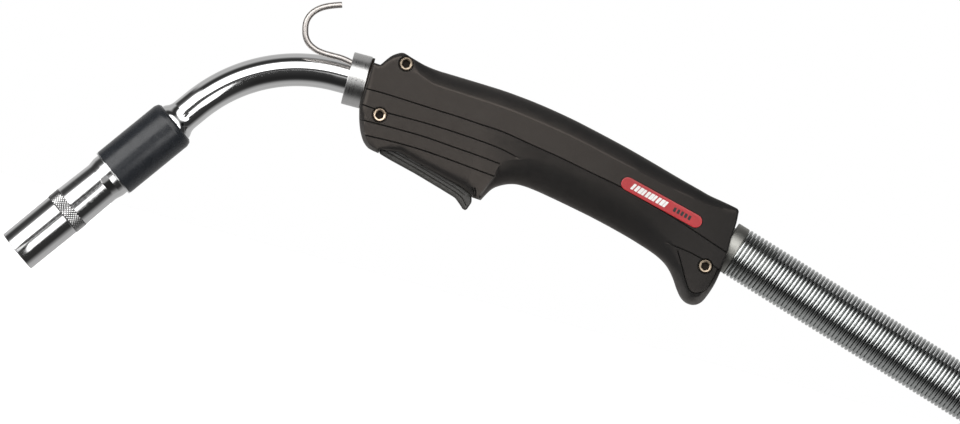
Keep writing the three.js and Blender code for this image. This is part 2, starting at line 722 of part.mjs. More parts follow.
// path is the open run from the terminal, [x, y, z]
const LEADS = {
  a: {
    path: [[44.9, -1, -14.6], [50, -4.2, -12.9], [66, -4.6, -12.2], [84, -3.4, -11.2]],
    endY: -LEAD_END_Y,
    steps: 16,
    material: MATERIALS.greyLead,
  },
  b: {
    path: [[54.9, 1, -14.6], [60, 3.6, -12.9], [72, 4.2, -12], [86, 3.2, -11]],
    endY: LEAD_END_Y,
    steps: 15,
    material: MATERIALS.brownLead,
  },
};

function switchHousing() {
  const { fromX, toX, halfWidth, bottomZ, topZ } = SWITCH;
  return cut(
    box(fromX, toX, -halfWidth, halfWidth, bottomZ, topZ),
    upright(PLUNGER.x, PLUNGER_HOLE.radius, bottomZ - 1, PLUNGER_HOLE.topZ, 16),
  );
}

function switchTerminal(x) {
  const { thickness, halfWidth, topZ } = TERMINAL;
  return box(x, x + thickness, -halfWidth, halfWidth, SWITCH.topZ + 0.1, topZ);
}

// Where a lead lies under the conductor, inside the cable jacket.
function leadEnd(place, y) {
  const { direction } = RELIEF_AXIS;
  const down = new Vector3(direction.z, 0, -direction.x);
  const point = pointOn(RELIEF_AXIS, place);
  point.addScaledVector(down, Math.sqrt(LEAD_RADIAL ** 2 - y ** 2));
  return [point.x, y, point.z];
}

function controlLead({ path, endY, steps }) {
  const ends = LEAD_END_PLACES.map((place) => leadEnd(place, endY));
  return rod(LEAD_R, [...path, ...ends], steps, 6);
}

add(building, "switch_housing", switchHousing(), MATERIALS.switchHousing);
add(
  building,
  "switch_plunger",
  upright(PLUNGER.x, PLUNGER.radius, PLUNGER.bottomZ, PLUNGER.topZ, 16),
  MATERIALS.plunger,
);
for (const [place, x] of Object.entries(TERMINAL_X)) {
  add(building, `switch_terminal_${place}`, switchTerminal(x), MATERIALS.brass);
}
for (const [letter, lead] of Object.entries(LEADS)) {
  add(building, `control_lead_${letter}`, controlLead(lead), lead.material);
}

// ----------------------------------------------------------- connector block
const BLOCK = { fromX: 46, toX: 78, half: 9 };
const BLOCK_EDGE = { inset: 1, depth: 1, steps: 1 };
// foot is the height of the screw's lower end
const BLOCK_SCREWS = { front: { x: 52, foot: 5.6 }, rear: { x: 72, foot: 6.6 } };

function connectorBlock() {
  const { fromX, toX, half } = BLOCK;
  const sideView = [[fromX, -half], [toX, -half], [toX, half], [fromX, half]];
  const bore = (...sizes) => placed(disc(...sizes), neck);
  return cut(
    prism(sideView, -half, half, BLOCK_EDGE),
    bore(5.55, 40, 58, 16), // neck conductor
    bore(2.95, 40, 90, 12), // wire liner
    bore(6.55, 66, 90, 16), // crimp
    ...Object.values(BLOCK_SCREWS).map(({ x }) => upright(x, 2.4, 3, 20, 12)),
  );
}

const blockScrew = ({ x, foot }) =>
  cut(upright(x, 2.05, foot, 10.2, 12), upright(x, 1.1, 8.2, 12, 6));

add(building, "connector_block", connectorBlock(), MATERIALS.brass);
for (const [place, screw] of Object.entries(BLOCK_SCREWS)) {
  add(building, `block_screw_${place}`, blockScrew(screw), MATERIALS.darkSteel);
}
add(building, "cable_crimp", placed(ring(6.2, 5.15, 66.5, 81, 16), neck), MATERIALS.copper);

// --------------------------------------------------- cable and strain relief
// Places are along the relief axis.
const RELIEF_SPRING_BORE_R = 11;
const RELIEF_SPRING_FROM = 2.9;
const RELIEF_SPRING_TO = 188;
const CABLE_R = 8;
const CABLE_FROM = -95;
const CABLE_TO = 248;
const STRAND_BORE_R = 2.9;
const STRAND_TO = 254;
const CABLE_LINER_TO = 262;
const FERRULE_BORE_R = CABLE_R + 0.35;

// radius, place
const FERRULE_PROFILE = [
  [FERRULE_BORE_R, -27],
  [9.7, -27],
  [9.7, -3.5],
  [RELIEF_SPRING_R - 0.1, -3.5],
  [RELIEF_SPRING_R - 0.1, RELIEF_SPRING_FROM - 0.3],
  [RELIEF_SPRING_BORE_R - 0.4, RELIEF_SPRING_FROM - 0.3],
  [RELIEF_SPRING_BORE_R - 0.4, 22],
  [FERRULE_BORE_R, 22],
];

function addSpring(suffix, from, to) {
  const shape = ring(RELIEF_SPRING_R, RELIEF_SPRING_BORE_R, from, to, 24);
  add(relief, `strain_relief_spring_${suffix}`, shape, MATERIALS.steel);
}

function addJacket(suffix, from, to) {
  const shape = ring(CABLE_R, CABLE_BORE_R, from, to, 20);
  add(relief, `cable_jacket_${suffix}`, shape, MATERIALS.cableJacket);
}

add(
  building,
  "cable_conductor_handle",
  tube(STRAND_R, STRAND_BORE_R, cableStations(67, HANDLE_SECTION_TO, 3), 12),
  MATERIALS.copper,
);
addJacket("handle", CABLE_FROM, HANDLE_SECTION_TO);
add(relief, "strain_relief_ferrule", turnedLoop(FERRULE_PROFILE, 32), MATERIALS.steel);
addSpring("handle", RELIEF_SPRING_FROM, HANDLE_SECTION_TO);

// One section after each bending place; in the last, each layer has its own end.
RELIEF_HINGES.forEach((hinge, i) => {
  const from = hinge + RELIEF_SLIT / 2;
  const isLast = i === RELIEF_HINGES.length - 1;
  const endOr = (lastEnd) => (isLast ? lastEnd : RELIEF_HINGES[i + 1] - RELIEF_SLIT / 2);
  const number = i + 1;
  addSpring(number, from, endOr(RELIEF_SPRING_TO));
  addJacket(number, from, endOr(CABLE_TO));
  add(
    relief,
    `cable_conductor_${number}`,
    ring(STRAND_R, STRAND_BORE_R, from, endOr(STRAND_TO), 12),
    MATERIALS.copper,
  );
  add(
    relief,
    `wire_liner_${number}`,
    ring(LINER_R, LINER_BORE_R, from, endOr(CABLE_LINER_TO), LINER_SIDES),
    MATERIALS.steel,
  );
});

export default torch;
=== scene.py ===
"""A MIG welding torch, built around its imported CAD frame.

Lengths are millimetres in the torch's own building frame. X runs along the rear end of
the neck towards the cable, so the nozzle is at -X, bent down, and the cable at +X.
Y = 0 is the parting plane of the handle and Z is up. The origin is where the hook collar
meets the handle. to_frame() turns places into the frame's metres. "Side view" points are
(x, z), and the side of the torch that the camera sees is at -Y.
"""

import math

import bmesh
import bpy
import numpy as np
from mathutils import Matrix, Vector
from mathutils.geometry import delaunay_2d_cdt


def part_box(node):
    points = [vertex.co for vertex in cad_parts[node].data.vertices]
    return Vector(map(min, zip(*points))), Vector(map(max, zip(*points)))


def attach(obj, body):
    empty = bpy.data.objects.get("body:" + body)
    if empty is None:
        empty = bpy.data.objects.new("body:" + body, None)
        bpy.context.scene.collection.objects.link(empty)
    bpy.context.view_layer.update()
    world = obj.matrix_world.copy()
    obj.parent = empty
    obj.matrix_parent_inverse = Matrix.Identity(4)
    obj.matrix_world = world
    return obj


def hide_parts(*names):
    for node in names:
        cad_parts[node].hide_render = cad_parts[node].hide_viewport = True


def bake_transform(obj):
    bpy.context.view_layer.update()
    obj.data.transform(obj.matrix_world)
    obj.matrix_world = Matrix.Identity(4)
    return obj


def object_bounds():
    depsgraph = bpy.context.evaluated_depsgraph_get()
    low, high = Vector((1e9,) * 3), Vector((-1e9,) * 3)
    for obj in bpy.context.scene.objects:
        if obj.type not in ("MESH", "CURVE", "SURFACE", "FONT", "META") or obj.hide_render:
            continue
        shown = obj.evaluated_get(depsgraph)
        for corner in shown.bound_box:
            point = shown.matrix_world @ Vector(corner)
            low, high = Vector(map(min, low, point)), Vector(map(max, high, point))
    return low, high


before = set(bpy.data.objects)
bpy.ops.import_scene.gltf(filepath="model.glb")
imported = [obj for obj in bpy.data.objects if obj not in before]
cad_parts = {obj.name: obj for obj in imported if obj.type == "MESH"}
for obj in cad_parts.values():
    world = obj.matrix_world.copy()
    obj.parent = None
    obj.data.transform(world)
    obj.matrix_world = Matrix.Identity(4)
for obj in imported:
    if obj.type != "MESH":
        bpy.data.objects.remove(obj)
CAD_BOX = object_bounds()

# ------------------------------------------------------------------ placement
BLOCK_START_X, BLOCK_BOTTOM_Z = 46.0, -9.0  # where the connector block's low corner lies
block_low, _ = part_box("connector_block")
ORIGIN = np.array(
    [BLOCK_START_X - block_low.x * 1000.0, 0.0, BLOCK_BOTTOM_Z - block_low.z * 1000.0]
)

BEND_ANGLE = math.radians(54.2)
BEND_RADIUS = 79.4
BEND_START_X = -15.0


def bend_point(angle):
    """The neck's axis at an angle into its bend."""
    return BEND_START_X - BEND_RADIUS * math.sin(angle), 0.0, BEND_RADIUS * (math.cos(angle) - 1)


# axes of the front (neck end and nozzle), the neck's rear, and the strain relief
FRONT_POINT = np.array(bend_point(BEND_ANGLE))
FRONT_DIR = np.array([-math.cos(BEND_ANGLE), 0.0, -math.sin(BEND_ANGLE)])
NECK_POINT = np.zeros(3)
NECK_DIR = np.array([1.0, 0.0, 0.0])
ACROSS_DIR = np.array([0.0, 1.0, 0.0])
RELIEF_ANGLE = math.radians(16.9)
RELIEF_POINT = np.array([198.05, 0.0, -32.86])
RELIEF_DIR = np.array([math.cos(RELIEF_ANGLE), 0.0, -math.sin(RELIEF_ANGLE)])
RELIEF_UP = np.array([math.sin(RELIEF_ANGLE), 0.0, math.cos(RELIEF_ANGLE)])

SIDES = ((-1, "left"), (1, "right"))  # sign of Y and name of each side
# side-view places
SCREWS = {
    "front_top": (16.85, 14.19),
    "front_lower": (10.65, -13.87),
    "rear": (187.33, -44.79),
}
PIVOT = (19.7, -26.8)


def to_frame(points):
    return (np.asarray(points, float).reshape(-1, 3) - ORIGIN) * 0.001


def on_relief(place, up=0.0, y=0.0):
    """A point along the strain relief's axis, up from it and across it."""
    return RELIEF_POINT + RELIEF_DIR * place + RELIEF_UP * up + np.array([0.0, y, 0.0])


# --------------------------------------------------------------- shader nodes
class Graph:
    """A shader node tree, with short calls for the kinds of node used here."""

    def __init__(self, tree):
        self.nodes, self.links = tree.nodes, tree.links

    def add(self, kind, **settings):
        node = self.nodes.new("ShaderNode" + kind)
        for key, value in settings.items():
            setattr(node, key, value)
        return node

    def feed(self, socket, value):
        """Links an output to a socket, or gives the socket a plain value."""
        if isinstance(value, bpy.types.NodeSocket):
            self.links.new(value, socket)
        elif socket.type == "RGBA":
            socket.default_value = (*value, 1.0)
        elif socket.type == "VECTOR":
            socket.default_value = tuple(float(part) for part in value)
        else:
            socket.default_value = value

    def math(self, operation, first, second=0.0, clamp=False):
        node = self.add("Math", operation=operation, use_clamp=clamp)
        self.feed(node.inputs[0], first)
        self.feed(node.inputs[1], second)
        return node.outputs[0]

    def plus(self, first, second, clamp=False):
        return self.math("ADD", first, second, clamp)

    def minus(self, first, second):
        return self.math("SUBTRACT", first, second)

    def times(self, first, second, clamp=False):
        return self.math("MULTIPLY", first, second, clamp)

    def vector(self, operation, first, second):
        node = self.add("VectorMath", operation=operation)
        self.feed(node.inputs[0], first)
        self.feed(node.inputs[1], second)
        return node.outputs["Value" if operation == "DOT_PRODUCT" else "Vector"]

    def remap(self, value, low, high, from_low=0.3, from_high=0.7):
        node = self.add("MapRange")
        node.inputs["From Min"].default_value = from_low
        node.inputs["From Max"].default_value = from_high
        node.inputs["To Min"].default_value = low
        node.inputs["To Max"].default_value = high
        self.feed(node.inputs["Value"], value)
        return node.outputs[0]

    def mix(self, factor, first, second):
        node = self.add("Mix", data_type="RGBA")
        self.feed(node.inputs["Factor"], factor)
        # colour A, colour B and the colour result follow the float and vector sockets
        self.feed(node.inputs[6], first)
        self.feed(node.inputs[7], second)
        return node.outputs[2]


class Surface(Graph):
    """A principled material in object coordinates."""

    def __init__(self, name):
        self.material = bpy.data.materials.new(name)
        self.material.use_nodes = True
        super().__init__(self.material.node_tree)
        self.shader = self.nodes["Principled BSDF"]
        self.coord = self.add("TexCoord").outputs["Object"]
        self.normal = None

    def set(self, **values):
        """Sets or links shader inputs, with underscores for the spaces in their names."""
        for key, value in values.items():
            self.feed(self.shader.inputs[key.replace("_", " ")], value)

    def along(self, axis):
        return self.vector("DOT_PRODUCT", self.coord, axis)

    def noise(self, scale, detail=3.0, rough=0.55, line=None, vector=None):
        """Noise over the object, over another vector, or along a line value."""
        node = self.add("TexNoise")
        node.inputs["Scale"].default_value = scale
        node.inputs["Detail"].default_value = detail
        node.inputs["Roughness"].default_value = rough
        if line is not None:
            node.noise_dimensions = "1D"
            self.feed(node.inputs["W"], line)
        else:
            self.feed(node.inputs["Vector"], self.coord if vector is None else vector)
        return node.outputs[0]

    def stretched(self, axis, along_scale, across_scale):
        """Coordinates scaled apart along and across an axis, for brushed marks."""
        node = self.add("CombineXYZ")
        directions = (axis, ACROSS_DIR, np.cross(axis, ACROSS_DIR))
        scales = (along_scale, across_scale, across_scale)
        for socket, direction, scale in zip(node.inputs, directions, scales):
            self.feed(socket, self.times(self.along(direction), scale))
        return node.outputs[0]

    def bump(self, height, strength, distance):
        """Adds a bump on top of the earlier ones."""
        node = self.add("Bump")
        node.inputs["Strength"].default_value = strength
        node.inputs["Distance"].default_value = distance
        self.feed(node.inputs["Height"], height)
        if self.normal is not None:
            self.feed(node.inputs["Normal"], self.normal)
        self.normal = node.outputs[0]
        self.set(Normal=self.normal)


# ------------------------------------------------------------------ materials
def tint(colour, strength):
    return tuple(min(1.0, part * strength) for part in colour)


def paint_sheen_falloff(skin, specular, rear_specular):
    """Painted sheen, set by place and facing rather than by the lamps: less shine towards the
    handle's rear, where it stands in for the light falling off, but full shine on faces turned up
    or down.
    """
    start, end = (np.array([45.0, 195.0]) - ORIGIN[0]) * 0.001
    share = skin.remap(skin.along(NECK_DIR), 0.0, 1.0, float(start), float(end))
    flat = skin.minus(
        specular, skin.times(skin.times(share, share), specular - rear_specular)
    )
    facing = skin.vector("DOT_PRODUCT", skin.add("NewGeometry").outputs["Normal"], ACROSS_DIR)
    edge_on = skin.remap(skin.math("ABSOLUTE", facing), 1.0, 0.0, from_low=0.25, from_high=0.66)
    full = skin.times(edge_on, skin.minus(1.0, flat))
    skin.set(Specular_IOR_Level=skin.plus(flat, full))


def moulded(name, base, rough, grain=2600.0, depth=0.00003, wear=0.25, coat=0.0,
            specular=0.5, rear_specular=None, sheen=(1.0, 1.0, 1.0)):
    """Moulded plastic: fine grain, slow colour drift, lighter rubbed edges."""
    skin = Surface(name)
    drift = skin.noise(35.0, detail=4.0)
    fine = skin.noise(1400.0, detail=2.0)
    colour = skin.mix(skin.remap(drift, 0.0, 1.0), tint(base, 0.86), tint(base, 1.14))
    colour = skin.mix(skin.remap(fine, 0.0, 0.35), colour, tint(base, 1.3))
    pointiness = skin.add("NewGeometry").outputs["Pointiness"]
    edge = skin.remap(pointiness, 0.0, 1.0, from_low=0.505, from_high=0.56)
    colour = skin.mix(skin.times(edge, wear, clamp=True), colour, tint(base, 2.6))
    skin.set(
        Base_Color=colour,
        Roughness=skin.remap(skin.noise(240.0, detail=5.0), rough - 0.07, rough + 0.08),
        Specular_IOR_Level=specular,
        Specular_Tint=sheen,
    )
    # painted sheen: the grip's shine fades towards the rear and rises on faces turned up or down
    if rear_specular is not None:
        paint_sheen_falloff(skin, specular, rear_specular)
    if coat:
        skin.set(Coat_Weight=coat, Coat_Roughness=0.25)
    skin.bump(skin.noise(grain, detail=2.0, rough=0.5), strength=0.55, distance=depth)
    skin.bump(skin.noise(160.0, detail=2.0), strength=0.25, distance=0.00006)
    return skin.material


def metal(name, base, rough, axis=None, marks=0.35, spread=0.05, grime=0.12, scale=2200.0):
    """Metal with smears and faint stains, and with tool marks round an axis if one is given."""
    skin = Surface(name)
    skin.set(Metallic=1.0)
    drift = skin.noise(60.0, detail=5.0, rough=0.6)
    skin.set(Base_Color=skin.mix(skin.remap(drift, 0.0, 1.0), tint(base, 1.0 - grime), base))
    smear = skin.noise(420.0, detail=4.0)
    if axis is None:
        skin.set(Roughness=skin.remap(smear, rough - spread, rough + spread))
        skin.bump(skin.noise(900.0), strength=marks, distance=0.00001)
        return skin.material
    rings = skin.noise(scale, detail=5.0, rough=0.65, line=skin.along(axis))
    brushed = skin.stretched(axis, along_scale=scale * 0.8, across_scale=scale * 0.03)
    streaks = skin.noise(1.0, detail=4.0, rough=0.6, vector=brushed)
    both = skin.plus(skin.times(rings, 0.5), skin.times(streaks, 0.5))
    turned_rough = skin.remap(both, rough - spread, rough + spread)
    skin.set(Roughness=skin.plus(turned_rough, skin.remap(smear, -0.02, 0.03), clamp=True))
    skin.bump(both, strength=marks, distance=0.00002)
    return skin.material


def knurled(name, base, rough, groove_radius, crest_radius):
    """Plated knurling round the front axis: bright crests, and rougher grooves coloured near
    black as painted shade. Radii in metres.
    """
    skin = Surface(name)
    skin.set(Metallic=1.0)
    place = skin.vector("SUBTRACT", skin.coord, to_frame(FRONT_POINT)[0])
    offset = skin.vector("CROSS_PRODUCT", place, FRONT_DIR)
    radius = skin.math("SQRT", skin.vector("DOT_PRODUCT", offset, offset))
    crest = skin.remap(radius, 0.0, 1.0, groove_radius, crest_radius)
    worn = skin.mix(skin.remap(skin.noise(900.0), 0.0, 1.0), tint(base, 0.88), base)
    # painted shade: the grooves' colour drops to near black below the crests
    skin.set(Base_Color=skin.mix(crest, tint(base, 0.05), worn))
    crest_rough = skin.remap(crest, 0.35, rough, from_low=0.0, from_high=1.0)
    skin.set(Roughness=skin.plus(crest_rough, skin.remap(skin.noise(300.0), -0.03, 0.03)))
    skin.bump(skin.noise(1500.0, detail=2.0), strength=0.05, distance=0.00001)
    return skin.material


FINISH = {
    "grip": moulded("moulded_black", (0.0145, 0.0147, 0.0152), rough=0.41, grain=2300.0,
                    wear=0.10, specular=0.56, rear_specular=0.18, sheen=(1.0, 0.85, 0.735)),
    "lever": moulded("moulded_grey", (0.038, 0.0365, 0.0335), rough=0.36, grain=2300.0,
                     wear=0.15, specular=0.65),
    "sleeve": moulded("glass_filled_sleeve", (0.0215, 0.0238, 0.0280), rough=0.25,
                      grain=3200.0, depth=0.00001, wear=0.1),
    "rubber": moulded("cable_rubber", (0.028, 0.028, 0.029), rough=0.62, grain=900.0,
                      depth=0.00006, wear=0.0),
    "switch": moulded("switch_plastic", (0.045, 0.052, 0.06), rough=0.5),
    "plunger": moulded("plunger_red", (0.42, 0.045, 0.03), rough=0.45),
    "insulation": moulded("pale_insulation", (0.62, 0.57, 0.47), rough=0.55, wear=0.05),
    "lead_grey": moulded("lead_grey", (0.42, 0.42, 0.42), rough=0.5, wear=0.05),
    "lead_brown": moulded("lead_brown", (0.12, 0.045, 0.025), rough=0.5, wear=0.05),
    "badge": moulded("badge_red", (0.41, 0.022, 0.027), rough=0.33, grain=1500.0,
                     depth=0.00001, wear=0.15, coat=0.35),
    "mark_white": moulded("mark_white", (0.80, 0.79, 0.77), rough=0.4, grain=1500.0,
                          depth=0.00001, wear=0.0),
    "mark_black": moulded("mark_black", (0.016, 0.015, 0.016), rough=0.4, grain=1500.0,
                          depth=0.00001, wear=0.0),
    "chrome_neck": metal("chrome_neck", (0.90, 0.905, 0.91), rough=0.06, marks=0.01,
                         spread=0.015, grime=0.04),
    "chrome_nozzle": metal("chrome_nozzle", (0.80, 0.803, 0.808), rough=0.10, axis=FRONT_DIR,
                           marks=0.06, spread=0.03, grime=0.06, scale=900.0),
    "ring": metal("ring_bright", (0.85, 0.86, 0.87), rough=0.14, axis=FRONT_DIR, marks=0.1,
                  spread=0.03),
    "collar": metal("turned_aluminium", (0.66, 0.66, 0.655), rough=0.30, axis=NECK_DIR,
                    marks=0.28, spread=0.07, grime=0.08, scale=1500.0),
    "hook": metal("bright_steel_rod", (0.60, 0.565, 0.54), rough=0.38, marks=0.01,
                  spread=0.03, grime=0.06),
    "coil": metal("spring_wire", (0.61, 0.628, 0.624), rough=0.13, marks=0.06, spread=0.03,
                  grime=0.10),
    "ferrule": metal("brushed_ferrule", (0.40, 0.40, 0.375), rough=0.42, axis=RELIEF_DIR,
                     marks=0.3, grime=0.1, scale=1500.0),
    "steel": metal("plain_steel", (0.58, 0.58, 0.585), rough=0.28, marks=0.2, spread=0.06),
    "oxide": metal("black_oxide", (0.075, 0.075, 0.085), rough=0.38, marks=0.2, spread=0.06),
    "zinc": metal("yellow_zinc", (0.82, 0.66, 0.50), rough=0.28, axis=ACROSS_DIR, marks=0.08,
                  spread=0.03, grime=0.1, scale=1500.0),
    "zinc_worn": metal("yellow_zinc_worn", (0.50, 0.41, 0.31), rough=0.42, axis=ACROSS_DIR,
                       marks=0.08, spread=0.04, grime=0.15, scale=1500.0),
    "brass": metal("brass", (0.72, 0.50, 0.22), rough=0.30, marks=0.2, spread=0.06, grime=0.2),
    "copper": metal("copper", (0.78, 0.36, 0.20), rough=0.28, marks=0.2, spread=0.06,
                    grime=0.2),
    "knurl": knurled("knurled_chrome", (0.88, 0.88, 0.88), rough=0.16,
                     groove_radius=0.01135, crest_radius=0.01144),
    # near black: painted shade for the screws' hex sockets and the gap behind the collar
    "socket": moulded("painted_shade_black", (0.013, 0.009, 0.006), rough=0.6, grain=1500.0,
                      wear=0.0, specular=0.12),
}


# ------------------------------------------------------------ lines and rings
def unit(vector):
    vector = np.asarray(vector, float)
    return vector / np.linalg.norm(vector)


def unit_rows(vectors):
    return vectors / np.linalg.norm(vectors, axis=1)[:, None]


def left_of(tangents):
    return np.column_stack([-tangents[:, 1], tangents[:, 0]])


def close(ring):
    return np.vstack([ring, ring[:1]])


def offset_line(line, distance):
    """A 2-D line moved to its left."""
    return line + left_of(unit_rows(np.gradient(line, axis=0))) * distance


def inward_normals(ring):
    after, before = np.roll(ring, -1, 0), np.roll(ring, 1, 0)
    area = 0.5 * np.sum(ring[:, 0] * after[:, 1] - after[:, 0] * ring[:, 1])
    return left_of(unit_rows(after - before)) * (1 if area > 0 else -1)


def fillet(corners, steps=5, closed=True):
    """Rounds the corners of a polygon or line. Rows are (first, second, rounding radius)."""
    points = [np.array(corner[:2], float) for corner in corners]
    count = len(points)
    rounded = []
    for i, corner in enumerate(points):
        radius = corners[i][2]
        if radius <= 0 or (not closed and i in (0, count - 1)):
            rounded.append(corner)
            continue
        before, after = points[i - 1] - corner, points[(i + 1) % count] - corner
        before_length, after_length = np.linalg.norm(before), np.linalg.norm(after)
        before, after = before / before_length, after / after_length
        half = math.acos(float(np.clip(np.dot(before, after), -1, 1))) / 2
        if half > math.pi / 2 - 0.02:  # nearly straight
            rounded.append(corner)
            continue
        cut = min(radius / math.tan(half), 0.48 * before_length, 0.48 * after_length)
        radius = cut * math.tan(half)
        middle = (before + after) / np.linalg.norm(before + after)
        centre = corner + middle * (radius / math.sin(half))
        start = math.atan2(*(corner + before * cut - centre)[::-1])
        end = math.atan2(*(corner + after * cut - centre)[::-1])
        turn = (end - start + math.pi) % (2 * math.pi) - math.pi
        for k in range(steps + 1):
            angle = start + turn * k / steps
            rounded.append(centre + radius * np.array([math.cos(angle), math.sin(angle)]))
    return [tuple(point) for point in rounded]


# Spans of the four knots, level by level, that blend four points into one
BLEND_LEVELS = (((0, 1), (1, 2), (2, 3)), ((0, 2), (1, 3)), ((1, 2),))


def smooth_path(points, per):
    """Centripetal Catmull-Rom through 2-D or 3-D points, with per steps to each stretch."""
    points = [np.asarray(point, float) for point in points]
    points = [2 * points[0] - points[1]] + points + [2 * points[-1] - points[-2]]
    path = []
    for i in range(1, len(points) - 2):
        four = points[i - 1 : i + 3]
        knots = [0.0]
        for start, end in zip(four, four[1:]):
            knots.append(knots[-1] + np.linalg.norm(end - start) ** 0.5)
        for k in range(per):
            place = knots[1] + (knots[2] - knots[1]) * k / per
            blended = four
            for spans in BLEND_LEVELS:
                blended = [
                    first * (knots[high] - place) / (knots[high] - knots[low])
                    + second * (place - knots[low]) / (knots[high] - knots[low])
                    for (low, high), first, second in zip(spans, blended, blended[1:])
                ]
            path.append(blended[0])
    path.append(points[-2])
    return np.array(path)


def resample(points, step):
    """Even spacing along a polyline, keeping both ends."""
    points = np.asarray(points, float)
    lengths = np.linalg.norm(np.diff(points, axis=0), axis=1)
    places = np.concatenate([[0], np.cumsum(lengths)])
    count = max(1, int(round(places[-1] / step)))
    even = np.linspace(0, places[-1], count + 1)
    return np.stack([np.interp(even, places, column) for column in points.T], 1)


def curve(points, step):
    return resample(smooth_path(points, 6), step)


def subdivided(polygon, step):
    """A polygon with each side resampled on its own."""
    polygon = np.asarray(polygon, float)
    sides = zip(polygon, np.roll(polygon, -1, 0))
    return np.vstack([resample([start, end], step)[:-1] for start, end in sides])


def spaced(points, gap):
    """Drops points that lie within gap of the last one kept."""
    kept = []
    for point in points:
        if not kept or np.linalg.norm(point - kept[-1]) > gap:
            kept.append(point)
    return kept


def finer(profile, step):
    """Splits the sides of a closed profile, rounding the number of parts down."""
    fine = []
    for start, end in zip(profile, profile[1:] + profile[:1]):
        start, end = np.asarray(start, float), np.asarray(end, float)
        count = max(1, int(np.linalg.norm(end - start) / step))
        fine += [tuple(start + (end - start) * i / count) for i in range(count)]
    return fine


def angles(count):
    return np.arange(count) * (2 * math.pi / count)


def side_circle(at, radius, count):
    """Side-view points of a circle, or of another figure if radius is an array."""
    turn = angles(count)
    return np.column_stack([at[0] + radius * np.cos(turn), at[1] + radius * np.sin(turn)])


def hexagon(half_width, count):
    """Radii of a hexagon at even angles."""
    return half_width / np.cos((angles(count) + math.pi / 6) % (math.pi / 3) - math.pi / 6)


def at_y(points, y):
    """Side-view points carried to y."""
    points = np.asarray(points, float)
    return np.column_stack([points[:, 0], np.broadcast_to(y, len(points)), points[:, 1]])


# --------------------------------------------- shapes, as (vertices, faces)
def axes_of(direction):
    """The unit direction and two axes square to it."""
    direction = unit(direction)
    first = np.array([0.0, 1.0, 0.0])
    if abs(np.dot(direction, first)) > 0.9:
        first = np.array([0.0, 0.0, 1.0])
    first = unit(first - direction * np.dot(direction, first))
    return direction, first, np.cross(direction, first)


def loft(rings, solid=False):
    """Quads between equal rings. A solid is capped, otherwise the last ring joins the first."""
    size, rows = len(rings[0]), len(rings)
    verts = np.concatenate([np.asarray(ring, float) for ring in rings])
    faces = []
    for row in range(rows - 1 if solid else rows):
        here, beyond = row * size, (row + 1) % rows * size
        for k in range(size):
            j = (k + 1) % size
            faces.append((here + k, here + j, beyond + j, beyond + k))
    if solid:
        for base in (0, (rows - 1) * size):
            verts = np.vstack([verts, verts[base : base + size].mean(0)])
            centre = len(verts) - 1
            faces += [(base + k, base + (k + 1) % size, centre) for k in range(size)]
    return verts, faces


def circle(centre, direction, radius, count):
    """A ring round a direction. radius may be an array."""
    _, first, second = axes_of(direction)
    turn = angles(count)
    return (
        np.asarray(centre, float)
        + np.outer(radius * np.cos(turn), first)
        + np.outer(radius * np.sin(turn), second)
    )


def turned(profile, origin, direction, count, solid=False):
    """Turned about an axis. profile is [(place along the axis, radius)]."""
    origin = np.asarray(origin, float)
    direction = unit(direction)
    rings = [circle(origin + direction * place, direction, r, count) for place, r in profile]
    return loft(rings, solid)


def tube(path, radius, sides, bore=None):
    """Swept along a path of 3-D points, with flat ends, or with a bore."""
    path = np.asarray(path, float)
    tangents = unit_rows(np.gradient(path, axis=0))
    radius = np.broadcast_to(np.asarray(radius, float), (len(path),))
    _, first, _ = axes_of(tangents[0])
    turn = angles(sides)
    outer, inner = [], []
    for i, tangent in enumerate(tangents):
        first = unit(first - tangent * np.dot(tangent, first))
        second = np.cross(tangent, first)
        spokes = np.outer(np.cos(turn), first) + np.outer(np.sin(turn), second)
        outer.append(path[i] + radius[i] * spokes)
        if bore is not None:
            inner.append(path[i] + bore * spokes)
    return loft(outer + inner[::-1], solid=bore is None)


def prism(points, y_start, y_end):
    """A side view carried straight across the handle."""
    count = len(points)
    faces = [tuple(range(count)), tuple(range(2 * count - 1, count - 1, -1))]
    for i in range(count):
        j = (i + 1) % count
        faces.append((i, j, j + count, i + count))
    return np.concatenate([at_y(points, y_start), at_y(points, y_end)]), faces


def across(at, radius, y_start, y_end, count):
    """A cylinder across the handle."""
    return prism(side_circle(at, radius, count), y_start, y_end)


def joined(shapes):
    verts, faces, count = [], [], 0
    for part_verts, part_faces in shapes:
        faces += [tuple(i + count for i in face) for face in part_faces]
        verts.append(part_verts)
        count += len(part_verts)
    return np.concatenate(verts), faces


# ---------------------------------------------------------- meshes and pieces
def add_object(name, data):
    item = bpy.data.objects.new(name, data)
    bpy.context.scene.collection.objects.link(item)
    return item


def make_mesh(name, verts, faces):
    mesh = bpy.data.meshes.new(name)
    mesh.from_pydata(to_frame(verts).tolist(), [], [tuple(int(i) for i in f) for f in faces])
    work = bmesh.new()
    work.from_mesh(mesh)
    bmesh.ops.remove_doubles(work, verts=work.verts, dist=2e-7)
    bmesh.ops.dissolve_degenerate(work, dist=1e-7, edges=work.edges)
    bmesh.ops.recalc_face_normals(work, faces=work.faces)
    work.to_mesh(mesh)
    work.free()
    return mesh


def carve(name, shape, tools):
    """The mesh of a shape with the tool shapes taken away, one after another."""
    block = add_object("work", make_mesh(name, *shape))
    cutters = [add_object("cutter", make_mesh("cutter", *tool)) for tool in tools]
    for cutter in cutters:
        cut = block.modifiers.new("cut", "BOOLEAN")
        cut.operation = "DIFFERENCE"
        cut.solver = "EXACT"
        cut.object = cutter
    bpy.context.view_layer.update()
    graph = bpy.context.evaluated_depsgraph_get()
    carved = bpy.data.meshes.new_from_object(block.evaluated_get(graph))
    for item in [block] + cutters:
        bpy.data.objects.remove(item)
    return carved


